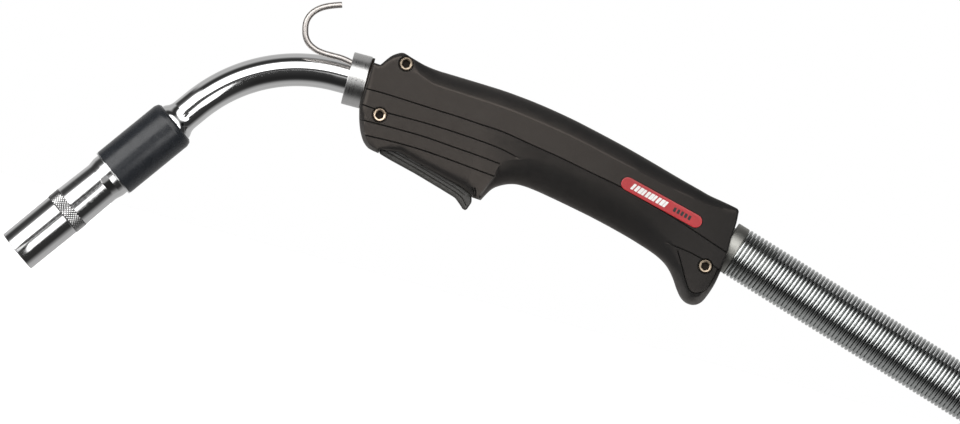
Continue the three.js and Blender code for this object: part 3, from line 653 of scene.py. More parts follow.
def piece(name, shape, materials, replaces=None, body="handle", sharp=34.0,
          blend=None):
    """Puts a shape or mesh into the scene on its body, and returns its mesh.

    blend is (first body, second body, start, end). With it the piece is put on no body and
    doesn't bend: its bodies and ends are not used.
    """
    mesh = make_mesh(name, *shape) if isinstance(shape, tuple) else shape
    mesh.name = name
    mesh.materials.clear()
    for material in materials if isinstance(materials, list) else [materials]:
        mesh.materials.append(material)
    mesh.shade_smooth()
    mesh.set_sharp_from_angle(angle=math.radians(sharp))
    item = add_object(name, mesh)
    if blend:
        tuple(blend[2])
        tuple(blend[3])
        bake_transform(item)
    else:
        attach(item, body)
    if replaces:
        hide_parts(replaces)
    return mesh


def paint_second(mesh, chosen):
    """Gives the second material to the faces whose centre is chosen."""
    for polygon in mesh.polygons:
        if chosen(np.array(polygon.center) * 1000.0 + ORIGIN):
            polygon.material_index = 1


# ---------------------------------------------------------------- side plates
def nearest(points, line):
    """Distance to a polyline, the segment, the place on it (0 to 1) and the side's sign."""
    step = line[1:] - line[:-1]
    squared_length = (step**2).sum(1)
    found = []
    for start in range(0, len(points), 4000):  # in batches, to spare memory
        batch = points[start : start + 4000]
        offset = batch[:, None, :] - line[:-1][None]
        place = np.clip((offset * step[None]).sum(2) / squared_length[None], 0, 1)
        squared = ((offset - place[:, :, None] * step[None]) ** 2).sum(2)
        near = squared.argmin(1)
        row = np.arange(len(batch))
        cross = step[near, 0] * offset[row, near, 1] - step[near, 1] * offset[row, near, 0]
        found.append((np.sqrt(squared[row, near]), near, place[row, near], np.sign(cross)))
    return [np.concatenate(column) for column in zip(*found)]


def distance_to(points, line):
    return nearest(points, line)[0]


def inside(points, polygon):
    x, y = points[:, 0], points[:, 1]
    result = np.zeros(len(points), bool)
    for (x0, y0), (x1, y1) in zip(polygon, np.roll(polygon, -1, 0)):
        if y0 != y1:
            result ^= ((y0 > y) != (y1 > y)) & (x < (x1 - x0) * (y - y0) / (y1 - y0) + x0)
    return result


def clear_of(points, lines, gap):
    """The points further than gap from every line."""
    for line in lines:
        points = points[distance_to(points, line) > gap]
    return points


def runs(points, kept, least):
    """The stretches of at least so many kept points in a row."""
    stretches = [[]]
    for point, keep in zip(points, kept):
        if keep:
            stretches[-1].append(point)
        else:
            stretches.append([])
    return [np.array(stretch) for stretch in stretches if len(stretch) >= least]


def grid_points(outline, xs, zs, shift=0.0):
    """A grid inside an outline, with every other row shifted."""
    grid_x, grid_z = np.meshgrid(xs, zs)
    grid_x = grid_x + (np.arange(len(zs)) % 2)[:, None] * shift
    grid = np.column_stack([grid_x.ravel(), grid_z.ravel()])
    return grid[inside(grid, outline)]


def rim_rings(outline, reach, degrees):
    """Outlines stepped in over a rounded rim, each with the points that are well placed."""
    inward = inward_normals(outline)
    for angle in degrees:
        inset = np.broadcast_to(reach, len(outline)) * (1 - math.cos(math.radians(angle)))
        ring = outline + inward * inset[:, None]
        clear = distance_to(ring, close(outline)) > 0.93 * inset
        yield ring, clear & inside(ring, outline)


def triangulate(outline, lines, loops, free):
    """Triangles of one turning sense inside an outline, with lines and loops kept as edges."""
    verts, edges = [], []
    chains = [(outline, True)]
    chains += [(line, False) for line in lines] + [(loop, True) for loop in loops]
    for chain, closed in chains:
        base = len(verts)
        verts.extend(Vector((float(x), float(z))) for x, z in chain)
        edges.extend((base + i, base + i + 1) for i in range(len(chain) - 1))
        if closed:
            edges.append((base + len(chain) - 1, base))
    verts.extend(Vector((float(x), float(z))) for x, z in free)
    points, _, faces, *_ = delaunay_2d_cdt(verts, edges, [], 0, 1e-5, False)
    points = np.array([(point.x, point.y) for point in points])
    faces = np.array([face for face in faces if len(face) == 3], int)
    faces = faces[inside(points[faces].mean(1), outline)]
    first, second, third = points[faces].transpose(1, 2, 0)
    area = (second[0] - first[0]) * (third[1] - first[1]) - (third[0] - first[0]) * (
        second[1] - first[1]
    )
    faces[area < 0] = faces[area < 0][:, ::-1]
    faces = faces[np.abs(area) > 1e-9]
    used = np.unique(faces)
    index = -np.ones(len(points), int)
    index[used] = np.arange(len(used))
    return points[used], index[faces]


def longest_border(faces):
    edges = {}  # a dict keeps the order of the edges
    for a, b, c in faces:
        edges.update({(a, b): True, (b, c): True, (c, a): True})
    following = {a: b for a, b in edges if (b, a) not in edges}
    loops = []
    while following:
        start, here = next(iter(following.items()))
        loop = [start]
        del following[start]
        while here != start:
            loop.append(here)
            here = following.pop(here)
        loops.append(loop)
    return np.array(max(loops, key=len))


def side_plate(layout, height, side, back=None, chamfer=0.0):
    """A solid whose face is at Y = side * height(points). Its back is flat at
    Y = side * back, or, without one, its other face is the mirror image.
    layout holds the outline, kept lines, kept loops and free points."""
    points, triangles = triangulate(*layout)
    count = len(points)
    half = height(points)
    verts = [at_y(points, side * half)]
    faces = [tuple(triangle) for triangle in triangles]
    border = longest_border(triangles)
    rows = [border]
    if back is None:
        verts.append(at_y(points, -side * half))
        faces += [tuple(triangle[::-1] + count) for triangle in triangles]
        rows.append(border + count)
    else:
        ring = points[border]
        inward = inward_normals(ring)
        size = len(border)
        insets = [(0.0, back + chamfer)] + ([(chamfer, back)] if chamfer else [])
        for k, (inset, y) in enumerate(insets):
            verts.append(at_y(ring + inward * inset, side * y))
            rows.append(np.arange(size) + count + k * size)
    for here, beyond in zip(rows, rows[1:]):
        faces += list(zip(here, np.roll(here, -1), np.roll(beyond, -1), beyond))
    if back is not None:
        faces.append(tuple(rows[-1]))
    return np.concatenate(verts), faces


# --------------------------------------------------------------- handle design
HALF_WIDTH = 15.8
# Side outline, section by section. Columns: x, z, how far in the rim's rounding reaches,
# and how far it drops in Y.
FRONT_EDGE = [
    (0.88, 10.64, 1.2, 1.2), (0.23, -0.87, 3.0, 2.6), (-0.23, -12.28, 4.2, 3.6),
    (0.57, -16.05, 3.4, 4.6), (1.83, -20.37, 2.6, 6.0), (3.76, -25.03, 2.2, 7.0),
    (6.17, -28.83, 2.1, 7.0), (8.98, -31.19, 2.0, 6.5), (11.47, -31.97, 1.9, 5.5),
    (14.78, -32.5, 1.6, 3.0),
]
TOP_EDGE = [
    (0.88, 10.64, 1.2, 1.2), (4.55, 10.43, 1.2, 1.2), (8.56, 15.96, 1.8, 2.2),
    (10.82, 17.76, 2.0, 2.4), (12.85, 18.87, 2.0, 2.6), (14.33, 19.16, 2.2, 2.8),
    (19.31, 17.75, 3.0, 3.4), (26.27, 15.94, 5.6, 6.0), (32.9, 15.13, 7.2, 8.4),
    (39.28, 14.92, 7.6, 9.0), (44.49, 14.77, 7.7, 9.0), (49.71, 14.61, 7.8, 9.0),
    (54.93, 14.46, 7.9, 9.0), (60.16, 14.26, 8.0, 9.0), (65.39, 14.05, 8.1, 9.0),
    (70.66, 13.71, 8.2, 9.0), (75.97, 13.21, 8.2, 9.0), (81.29, 12.67, 8.3, 9.0),
    (86.65, 11.99, 8.3, 9.0), (92.04, 11.2, 8.3, 9.0), (97.45, 10.32, 8.3, 9.0),
    (102.89, 9.35, 8.2, 9.0), (108.35, 8.28, 8.1, 9.0), (113.85, 7.06, 8.0, 9.0),
    (119.36, 5.84, 8.0, 9.0), (124.87, 4.57, 8.0, 9.0), (130.4, 3.26, 8.0, 9.0),
    (135.94, 1.9, 7.8, 9.0), (141.51, 0.44, 7.6, 9.0), (147.09, -1.07, 7.3, 8.8),
    (152.68, -2.62, 7.0, 8.4), (158.27, -4.18, 6.6, 8.0), (163.87, -5.73, 6.2, 7.4),
    (169.43, -7.19, 5.8, 6.8), (175.0, -8.65, 5.2, 6.2), (180.57, -10.11, 4.6, 5.6),
    (187.56, -11.29, 3.6, 4.4), (193.89, -12.49, 2.0, 2.4), (195.62, -12.96, 1.4, 1.6),
    (196.44, -14.09, 1.2, 1.4),
]
REAR_EDGE = [
    (196.44, -14.09, 1.2, 1.4), (196.78, -20.0, 1.2, 1.4), (196.28, -27.8, 1.2, 1.4),
    (196.23, -36.09, 1.2, 1.4), (195.7, -40.12, 1.4, 1.6), (195.4, -45.37, 2.0, 2.4),
]
# from the fin at the rear, along the underside, to the guard behind the trigger
LOWER_EDGE = [
    (195.4, -45.37, 2.0, 2.4), (194.01, -52.94, 2.6, 4.6), (191.88, -59.46, 3.4, 9.5),
    (190.44, -62.39, 3.9, 11.5), (188.48, -64.36, 4.9, 12.8), (185.73, -65.3, 5.4, 13.2),
    (182.64, -64.99, 5.6, 13.4), (179.56, -63.13, 5.3, 12.8), (176.43, -59.36, 4.8, 11.0),
    (173.58, -55.1, 5.0, 9.6), (170.38, -51.3, 5.6, 8.8), (167.06, -48.57, 7.4, 8.8),
    (162.6, -46.19, 9.6, 8.2), (157.81, -44.37, 12.0, 8.8), (153.12, -42.88, 13.8, 9.1),
    (147.48, -41.18, 15.0, 9.3), (141.9, -39.67, 15.8, 9.4), (136.35, -38.26, 16.2, 9.5),
    (130.82, -36.95, 16.4, 9.5), (125.32, -35.73, 16.5, 9.5), (119.84, -34.61, 16.5, 9.5),
    (114.38, -33.54, 16.5, 9.5), (108.93, -32.52, 16.5, 9.5), (103.49, -31.54, 16.5, 9.5),
    (98.06, -30.61, 16.2, 9.5), (93.76, -30.01, 15.8, 9.5), (89.52, -29.64, 15.0, 9.4),
    (85.41, -29.76, 14.0, 9.2), (81.54, -30.74, 12.8, 9.0), (77.87, -32.5, 11.4, 8.8),
    (74.63, -34.92, 9.6, 8.2), (72.23, -38.52, 7.4, 7.2), (70.42, -42.0, 5.0, 6.0),
]
# above the trigger lever
WINDOW_EDGE = [
    (70.42, -42.0, 0.7, 0.7), (68.9, -41.95, 0.7, 0.7), (67.2, -41.85, 0.7, 0.7),
    (65.9, -41.75, 0.8, 0.8), (65.25, -41.1, 1.0, 1.0), (64.5, -40.2, 4.6, 4.0),
    (59.6, -38.1, 5.2, 4.2), (49.3, -35.5, 4.2, 3.7), (36.7, -32.4, 3.8, 3.4),
    (25.0, -29.1, 3.6, 3.2), (19.0, -29.8, 2.4, 2.2), (14.8, -30.4, 0.8, 0.8),
    (14.78, -32.5, 0.7, 0.7),
]
# Share of each rim that is a flat bevel, and the part of its width over which that starts
BEVELS = {
    "top": (0.46, 0.002),
    "lower": (0.04, 0.04),
    "front": (0.0, 0.1),
    "rear": (0.0, 0.1),
    "window": (0.0, 0.1),
}

# Grooves in the side, as (x, z)
GROOVES = {
    "long": [
        (0.3, -2.93), (10.42, -2.95), (23.61, -3.51), (36.61, -4.11), (49.33, -4.64),
        (60.25, -5.39), (72.24, -6.11), (86.97, -8.53), (103.19, -11.12), (119.57, -14.29),
        (137.53, -17.76), (152.64, -21.79), (167.43, -26.0), (180.83, -30.38), (196.3, -35.6),
    ],
    "second": [
        (-0.1, -11.0), (6.88, -11.56), (13.48, -11.87), (33.1, -11.89), (47.74, -12.42),
        (62.55, -13.42), (72.3, -14.43), (79.62, -15.88), (84.11, -17.17),
    ],
    "third": [
        (1.5, -18.6), (20.31, -18.42), (34.92, -18.65), (49.71, -19.76), (64.56, -20.9),
        (74.78, -21.94),
    ],
    "fourth": [
        (4.2, -25.6), (22.1, -25.09), (36.73, -25.41), (51.53, -26.57), (66.46, -28.0),
        (73.74, -28.69),
    ],
    "nub_rear": [(67.35, -41.9), (67.3, -40.2), (66.9, -38.4), (66.2, -37.2)],
    "nub_front": [(66.5, -41.8), (66.45, -40.2), (66.0, -38.8), (65.2, -37.8)],
    "fin_top": [
        (164.28, -38.18), (170.95, -39.14), (178.27, -40.18), (184.56, -41.6),
        (190.5, -43.32), (195.3, -45.1),
    ],
}
FIN_PANEL = [
    (172.40, -41.44), (176.10, -47.90), (179.89, -54.52), (183.39, -58.81),
    (187.17, -58.83), (190.58, -55.98), (192.67, -49.47), (193.57, -45.09),
]
GROOVE_LINES = {name: curve(points, 1.1) for name, points in GROOVES.items()}
GROOVE_LINES["fin_panel"] = curve(FIN_PANEL, 0.8)
GROOVE_HALF, GROOVE_DEPTH = 0.38, 0.72
# loose ends: which point of the groove it is, and the length over which it runs out
FADES = {"second": (-1, 5.0), "fin_top": (0, 7.0)}

# The lower rim's rounding starts with a step behind this line, as (x, z)
PAD_EDGE = np.array([
    (66.0, -47.0), (69.97, -37.83), (71.84, -33.19), (73.74, -28.69), (74.78, -21.94),
    (76.04, -19.9), (84.11, -17.17), (96.0, -12.6), (118.0, -7.0),
])
PAD_STEP = 0.7
FOLD_SLOPE = 0.19  # slope of the side below the long groove, behind the guard
NUB_PIN = (69.2, -40.25)
BADGE_CENTRE = (158.0, -19.68)
BADGE_TURN = math.radians(-13.84)
BADGE_LENGTH, BADGE_WIDTH = 45.2, 6.6
SEAT_DEPTH, SEAT_GAP, SEAT_WALL = 0.45, 0.22, 0.12

CAVITY = [
    (18, 11.2), (60, 11.2), (76, 10.2), (87, 9.0), (97.5, 7.3), (108.4, 5.3),
    (119.4, 2.8), (130.4, 0.2), (141.5, -2.6), (152.7, -5.7), (163.9, -8.8),
    (171, -10.8), (171, -43.5), (160, -41.0), (147.5, -37.6), (136.4, -34.8),
    (125.3, -32.2), (114.4, -30.0), (103.5, -28.1), (93.8, -26.6), (86, -26.2),
    (79, -27.6), (72, -31.0), (69, -30.0), (62, -24.0), (18, -24.0),
]
CAVITY_DEPTH, WALL = 12.9, 2.4
TRIGGER_SLOT = [(14.3, -22.6), (14.3, -60), (69.2, -60), (69.2, -33.0), (63.0, -22.6)]
RELIEF_BORE = [(-34, 10.05), (-3.9, 10.05), (-3.9, 13.3), (30, 13.3)]


def section(points):
    """A smoothed edge table, with its last two columns carried along."""
    points = np.asarray(points, float)
    line = smooth_path(points[:, :2], 5)
    place = np.arange(len(line)) / 5.0
    rim = [np.interp(place, np.arange(len(points)), points[:, k]) for k in (2, 3)]
    return np.column_stack([line] + rim)


SECTIONS = {
    "front": section(FRONT_EDGE),
    # the corner at the top edge's second point stays sharp
    "top": np.vstack([np.asarray(TOP_EDGE[:2], float), section(TOP_EDGE[1:])[1:]]),
    "rear": section(REAR_EDGE),
    "lower": section(LOWER_EDGE),
    "window": np.asarray(WINDOW_EDGE, float),
}


# -------------------------------------------------------------- handle shells
def bow(outward, share, ease=0.25):
    """Drop of a rounded edge, 0 inside and 1 at the rim. share of it is a flat bevel,
    which starts over the first ease of its width."""
    outward = np.clip(outward, 0, 1)
    start, rest = outward * outward / (2 * ease), outward - ease / 2
    bevel = np.where(outward < ease, start, rest) / (1 - ease / 2)
    return (1 - np.sqrt(np.maximum(0.0, 1 - outward * outward))) * (1 - share) + share * bevel


def on_badge(x, z):
    """The side-view place of a point in the badge's own axes."""
    cosine, sine = math.cos(BADGE_TURN), math.sin(BADGE_TURN)
    return BADGE_CENTRE[0] + x * cosine - z * sine, BADGE_CENTRE[1] + x * sine + z * cosine


def stadium(grow, steps=14):
    """The badge's outline, grown outwards."""
    radius = BADGE_WIDTH / 2 + grow
    half = BADGE_LENGTH / 2 - BADGE_WIDTH / 2
    points = []
    for end, start in ((1, -90), (-1, 90)):
        for i in range(steps + 1):
            angle = math.radians(start + 180.0 * i / steps)
            points.append(on_badge(end * half + radius * math.cos(angle),
                                   radius * math.sin(angle)))
    return np.array(points)


def plain_height(points):
    """Half-width of the handle at side-view points, without grooves, holes and seats."""
    x, z = points[:, 0], points[:, 1]
    drop = np.zeros(len(points))
    for name, rim in SECTIONS.items():
        gap, near, place, _ = nearest(points, rim[:, :2])
        reach, deep = (rim[near, k] * (1 - place) + rim[near + 1, k] * place for k in (2, 3))
        share, ease = BEVELS[name]
        if name == "lower":  # the fin has a plain bevel
            share = share + 0.62 * np.clip((6.2 - reach) / 1.4, 0, 1) * (x > 160)
        if name == "front":  # and so has the lower front corner
            share = share + 0.7 * np.clip((-14.0 - z) / 5.0, 0, 1)
        fall = deep * bow(1 - gap / reach, share, ease)
        if name == "lower":
            gap, _, _, side = nearest(points, PAD_EDGE)
            behind = np.clip(gap * (-side) / PAD_STEP, 0, 1)
            fall = fall * behind * behind * (3 - 2 * behind)
        drop = np.maximum(drop, fall)
    gap, _, _, side = nearest(points, GROOVE_LINES["long"])
    slope = FOLD_SLOPE * np.clip((x - 62.0) / 26.0, 0, 1) * np.clip((188.0 - x) / 26.0, 0, 1)
    return HALF_WIDTH - drop - slope * np.clip(-gap * side, 0, 24.0)


def shell_height(points, holes):
    """Half-width of the handle with its details, and on one side with the screw holes."""
    cut = np.zeros(len(points))
    for name, line in GROOVE_LINES.items():
        depth = GROOVE_DEPTH * np.clip(1 - distance_to(points, line) / GROOVE_HALF, 0, 1)
        if name in FADES:
            end, length = FADES[name]
            from_end = np.linalg.norm(points - line[end], axis=1)
            depth = depth * np.clip(from_end / length, 0, 1)
        cut = np.maximum(cut, depth)
    height = plain_height(points) - cut
    if holes:
        for at in SCREWS.values():  # a counterbore with a rounded rim
            radius = np.linalg.norm(points - np.array(at), axis=1)
            rim = np.clip(1 - (radius - 3.72) / 0.45, 0, 1)
            floor_height = np.minimum(height, 11.9)
            height = np.where(radius > 3.71, height - 0.45 * rim**2, floor_height)
        radius = np.linalg.norm(points - np.array(NUB_PIN), axis=1)
        height = height - 0.7 * np.clip((0.66 - radius) / 0.14, 0, 1)
    # the badge sits in a shallow seat
    edge = stadium(0.0)
    wall = np.clip(1 - (distance_to(points, close(edge)) - SEAT_GAP) / SEAT_WALL, 0, 1)
    return height - np.where(inside(points, edge), SEAT_DEPTH, SEAT_DEPTH * wall)


def handle_outline(step=0.9):
    """The sections joined, with points where they meet."""
    parts = [resample(SECTIONS[k][:, :2], step) for k in ("top", "rear", "lower", "window")]
    parts.append(resample(SECTIONS["front"][::-1, :2], step))
    points = spaced(np.vstack(parts), 0.12)
    if np.linalg.norm(points[0] - points[-1]) < 0.12:
        points.pop()
    return np.array(points)


def shell_lines():
    """Kept lines along the grooves, the crease below the top edge and the pad's step."""
    lines = []
    for line in GROOVE_LINES.values():
        lines += [offset_line(line, offset) for offset in (-GROOVE_HALF, 0.0, GROOVE_HALF)]
    top = SECTIONS["top"]
    crease = offset_line(top[:, :2], -top[:, 2:3])
    crease = resample(crease[(top[:, 0] > 24) & (top[:, 0] < 189)], 0.9)
    lines += [crease, offset_line(crease, -0.4)]
    pad = resample(PAD_EDGE[1:8], 0.9)
    return lines + [offset_line(pad, offset) for offset in (0.0, -0.25, -0.5, -0.75)]


def shell_loops(holes):
    """Kept loops round the screw holes, the nub's pin and the badge's seat."""
    loops = []
    if holes:
        for at in SCREWS.values():
            loops += [side_circle(at, radius, 40) for radius in (3.70, 3.72, 3.88, 4.17)]
        loops += [side_circle(NUB_PIN, radius, 16) for radius in (0.52, 0.66)]
    return loops + [stadium(grow) for grow in (0.0, SEAT_GAP, SEAT_GAP + SEAT_WALL)]


def shell_layout(holes):
    """Outline, kept lines, kept loops and free points for the handle's side."""
    outline = handle_outline()
    rims = np.vstack([SECTIONS[k] for k in ("top", "rear", "lower", "window", "front")])
    near = ((outline[:, None, :] - rims[None, :, :2]) ** 2).sum(2).argmin(1)
    lines, rim_points = [], []
    rings = rim_rings(outline, rims[near, 2], (10, 20, 30, 41, 52, 63, 74, 84))
    for k, (ring, good) in enumerate(rings):
        if k < 4:
            lines += runs(ring, good, 3)
        else:
            rim_points.append(ring[good])
    lines += shell_lines()
    loops = shell_loops(holes)
    # an even field of points between them
    step = 1.35
    xs, zs = np.arange(-2, 199, step), np.arange(-67, 21, step * 0.866)
    grid = clear_of(grid_points(outline, xs, zs, step / 2), [close(outline)], 1.2)
    kept = lines + [close(loop) for loop in loops]
    grid = clear_of(grid, kept, 0.5)
    rim_points = clear_of(np.concatenate(rim_points), kept, 0.3)
    far = [
        ((grid[start : start + 2000, None] - rim_points[None]) ** 2).sum(2).min(1) > 0.55**2
        for start in range(0, len(grid), 2000)
    ]
    free = np.vstack([grid[np.concatenate(far)], rim_points])
    # no kept line may leave the outline
    trimmed = []
    for line in lines:
        trimmed += runs(line, inside(line, outline), 2)
    return outline, trimmed, loops, free


def cavity_tool(side):
    outline = subdivided(CAVITY, 4.0)
    grid = grid_points(outline, np.arange(20, 171, 4.0), np.arange(-44, 12, 4.0))
    grid = clear_of(grid, [close(outline)], 1.5)

    def depth(points):
        return np.minimum(CAVITY_DEPTH, plain_height(points) - WALL)

    return side_plate((outline, [], [], grid), depth, side, back=-3.0)


def handle_shell(name, side):
    """One half of the handle. The screws go in from -Y and end in the +Y half."""
    holes = side < 0
    shape = side_plate(
        shell_layout(holes), lambda points: shell_height(points, holes), side,
        back=0.15, chamfer=0.22,
    )
    tools = [
        cavity_tool(side),
        prism(TRIGGER_SLOT, -9.9, 9.9),
        turned([(-2, 8.6), (19, 8.6)], NECK_POINT, NECK_DIR, 64, solid=True),
        turned(RELIEF_BORE, RELIEF_POINT, RELIEF_DIR, 80, solid=True),
        across(PIVOT, 2.3, -13.9, 13.9, 24),
    ]
    for at in SCREWS.values():
        tools.append(
            across(at, 2.1, -13.0, 1.0, 24) if holes else across(at, 3.45, -1.0, 7.6, 24)
        )
    return carve(name, shape, tools)


for side, side_name in SIDES:
    name = "grip_shell_" + side_name
    piece(name, handle_shell(name, side), FINISH["grip"],
          "handle_shell_" + side_name, sharp=30.0)


# --------------------------------------------------------------------- badges
def badge_plate(side):
    """A low plate with a rounded rim."""
    rim = [(0.0, 15.42), (0.0, 15.86), (-0.06, 16.0), (-0.2, 16.08), (-0.5, 16.1), (-1.4, 16.1)]
    return loft([at_y(stadium(grow, 20), side * y) for grow, y in rim], solid=True)


def badge_bars(spans, low, high, slant, side):
    """Bars on the plate. spans are their starts and ends, mirrored on the +Y side."""
    bars = []
    for start, end in spans if side < 0 else [(-end, -start) for start, end in spans]:
        corners = [(start, low), (end, low), (end, high), (start, high)]
        outline = fillet([(x + slant * z, z, 0.22) for x, z in corners], 3)
        points = [on_badge(x, z) for x, z in outline]
        bars.append(prism(points, side * 16.02, side * 16.17))
    return joined(bars)


LIGHT_BARS = [(-16.8 + 2.02 * i, -15.45 + 2.02 * i + 0.25 * (i % 3)) for i in range(10)]
DARK_BARS = [(6.8 + 2.1 * i, 8.15 + 2.1 * i) for i in range(5)]
for side, side_name in SIDES:
    piece("badge_plate_" + side_name, badge_plate(side), FINISH["badge"],
          "badge_" + side_name)
    piece("badge_bars_light_" + side_name,
          badge_bars(LIGHT_BARS, -1.55, 1.75, -0.28 * side, side), FINISH["mark_white"])
    piece("badge_bars_dark_" + side_name,
          badge_bars(DARK_BARS, -1.15, 1.15, 0.0, side), FINISH["mark_black"])


# -------------------------------------------------------------- handle screws
def screw_head(at):
    """A domed rim round a hexagon socket that opens to -Y."""
    socket = hexagon(1.80, 72)
    rows = [(1.7, -12.0), (3.0, -12.0), (3.1, -12.15), (3.1, -14.1)]  # (radius, y)
    for angle in map(math.radians, (0, 30, 60)):
        rows.append((3.1 - 0.28 * math.sin(angle), -14.7 - 0.28 * (1 - math.cos(angle))))
    rows += [
        (2.8, -14.98), (2.66, -14.97), (2.35, -14.86), (socket + 0.14, -14.70),
        (socket, -14.55), (socket, -13.35), (socket * 0.55, -13.25),
    ]
    return loft([at_y(side_circle(at, radius, 72), y) for radius, y in rows], solid=True)


def screw_shank(at):
    """A threaded shank from the head to the insert."""
    profile = [(-0.6, 1.48)]
    for place in np.arange(0.0, 17.6, 0.62):
        profile += [(place, 1.48), (place + 0.22, 1.72), (place + 0.3, 1.72)]
    profile += [(18.1, 1.3), (18.4, 0.9)]
    return turned(profile, (at[0], -12.05, at[1]), ACROSS_DIR, 28, solid=True)


for place_name, at in SCREWS.items():
    plating = FINISH["zinc" if place_name == "front_lower" else "zinc_worn"]
    # the second finish is painted shade, near black, on the faces in the hex socket
    head = piece("grip_screw_" + place_name, screw_head(at), [plating, FINISH["socket"]],
                 "handle_screw_" + place_name)
    paint_second(
        head,
        lambda centre: math.hypot(centre[0] - at[0], centre[2] - at[1]) < 2.0
        and -14.68 < centre[1] < -13.0,
    )
    piece("grip_screw_shank_" + place_name, screw_shank(at), FINISH["zinc"])

# ------------------------------------------------------------ neck and sleeve
NECK_RADIUS = 8.25
# the flared front end: (place along the front axis, radius)
FLARE = [
    (2.0, NECK_RADIUS), (4.5, NECK_RADIUS), (6.6, NECK_RADIUS), (7.6, 8.27), (8.6, 8.34),
    (9.6, 8.55), (10.4, 8.85), (11.1, 9.25), (11.7, 9.62), (12.2, 9.87), (12.8, 10.06),
    (13.3, 10.15), (14.2, 10.15), (17.0, 10.15), (19.8, 10.15), (20.0, 10.0),
]


def neck():
    """Straight, bent and flared."""
    path = [(x, 0, 0) for x in np.linspace(30, BEND_START_X, 16)[:-1]]
    path += [bend_point(BEND_ANGLE * i / 90) for i in range(91)]
    radii = [NECK_RADIUS] * len(path) + [radius for _, radius in FLARE]
    path += [tuple(FRONT_POINT + FRONT_DIR * place) for place, _ in FLARE]
    return tube(path, radii, 112, bore=7.4)


piece("neck_tube", neck(), FINISH["chrome_neck"], "neck_jacket", sharp=50.0)

# Turned profiles are (place along the axis, radius, corner rounding)
SLEEVE = [
    (13.5, 10.5, 0.15), (13.5, 10.95, 0.3), (14.35, 12.25, 0.8), (16.4, 13.0, 3.0),
    (53.2, 13.0, 0.3), (53.2, 12.0, 0.15), (45.7, 12.0, 0), (45.7, 8.9, 0), (20.5, 8.9, 0),
    (20.5, 10.5, 0),
]
SLEEVE_RING = [(53.32, 12.02, 0), (53.32, 12.95, 0.16), (53.98, 12.95, 0.22), (53.98, 12.02, 0.1)]
piece("nozzle_sleeve", turned(fillet(SLEEVE), FRONT_POINT, FRONT_DIR, 128),
      FINISH["sleeve"], "nozzle_insulator")
piece("sleeve_end_ring", turned(fillet(SLEEVE_RING, 4), FRONT_POINT, FRONT_DIR, 128),
      FINISH["ring"], "nozzle_retaining_ring")

# --------------------------------------------------------------------- nozzle
KNURL_COLUMNS, KNURL_ROWS = 96, 8
KNURL_START, KNURL_END = 80.14, 86.36
KNURL_RADIUS, KNURL_HEIGHT = 11.36, 0.27
NOZZLE_REAR = [
    (46.2, 11.25, 0), (47.0, 11.65, 0.4), (56.9, 11.65, 1.6), (60.7, 10.85, 5.0),
    (79.9, 11.27, 0),
]
# ahead of the knurled band, round the mouth and back through the bore
NOZZLE_MOUTH = [
    (86.62, 11.30, 0), (90.0, 11.28, 0), (108.0, 11.19, 0), (115.9, 11.15, 0.55),
    (115.9, 7.95, 0.35), (80.0, 7.95, 0), (75.0, 8.9, 0), (46.2, 8.9, 0.3), (46.2, 11.25, 0.3),
]


def nozzle():
    """A turned nozzle with a band of small pyramids, edge to edge."""
    rows = fillet(NOZZLE_REAR, 6, closed=False) + [(80.0, KNURL_RADIUS)]
    first = len(rows)
    for k in range(KNURL_ROWS + 1):
        place = KNURL_START + (KNURL_END - KNURL_START) * k / KNURL_ROWS
        rows.append((place, KNURL_RADIUS))
    rows += [(86.5, KNURL_RADIUS)] + fillet(NOZZLE_MOUTH, 5, closed=False)[:-1]
    columns = np.arange(KNURL_COLUMNS)
    verts, faces = [], []
    for row, (place, radius) in enumerate(rows):
        centre = FRONT_POINT + FRONT_DIR * place
        radii = np.full(KNURL_COLUMNS, radius)
        band_row = row - first
        if 0 < band_row < KNURL_ROWS:
            radii[(columns + band_row) % 2 == 1] += KNURL_HEIGHT
        spokes = circle(centre, FRONT_DIR, 1.0, KNURL_COLUMNS) - centre
        verts.append(centre + spokes * radii[:, None])
        here, beyond = row * KNURL_COLUMNS, (row + 1) % len(rows) * KNURL_COLUMNS
        for k in range(KNURL_COLUMNS):
            j = (k + 1) % KNURL_COLUMNS
            low, low_next, high, high_next = here + k, here + j, beyond + k, beyond + j
            if not 0 <= band_row < KNURL_ROWS:
                faces.append((low, low_next, high_next, high))
            elif (k + band_row) % 2 == 0:  # cut between the two corners that stay low
                faces += [(low, low_next, high_next), (low, high_next, high)]
            else:
                faces += [(low, low_next, high), (low_next, high_next, high)]
    return np.concatenate(verts), faces


def in_knurled_band(centre):
    offset = centre - FRONT_POINT
    radius = np.linalg.norm(np.cross(offset, FRONT_DIR))
    return KNURL_START < offset @ FRONT_DIR < KNURL_END and radius > 11.0


nozzle_mesh = piece("gas_nozzle", nozzle(), [FINISH["chrome_nozzle"], FINISH["knurl"]],
                    "nozzle", body="nozzle", sharp=17.0)
paint_second(nozzle_mesh, in_knurled_band)

CONTACT_TIP = [
    (73, 0.7, 0), (73, 3.95, 0.3), (87, 3.95, 0.3), (88, 3.2, 0), (107.9, 3.2, 1.0),
    (112.9, 2.3, 0.35), (112.9, 0.7, 0.2),
]
piece("contact_tip_turned", turned(fillet(CONTACT_TIP, 4), FRONT_POINT, FRONT_DIR, 64),
      FINISH["copper"], "contact_tip")

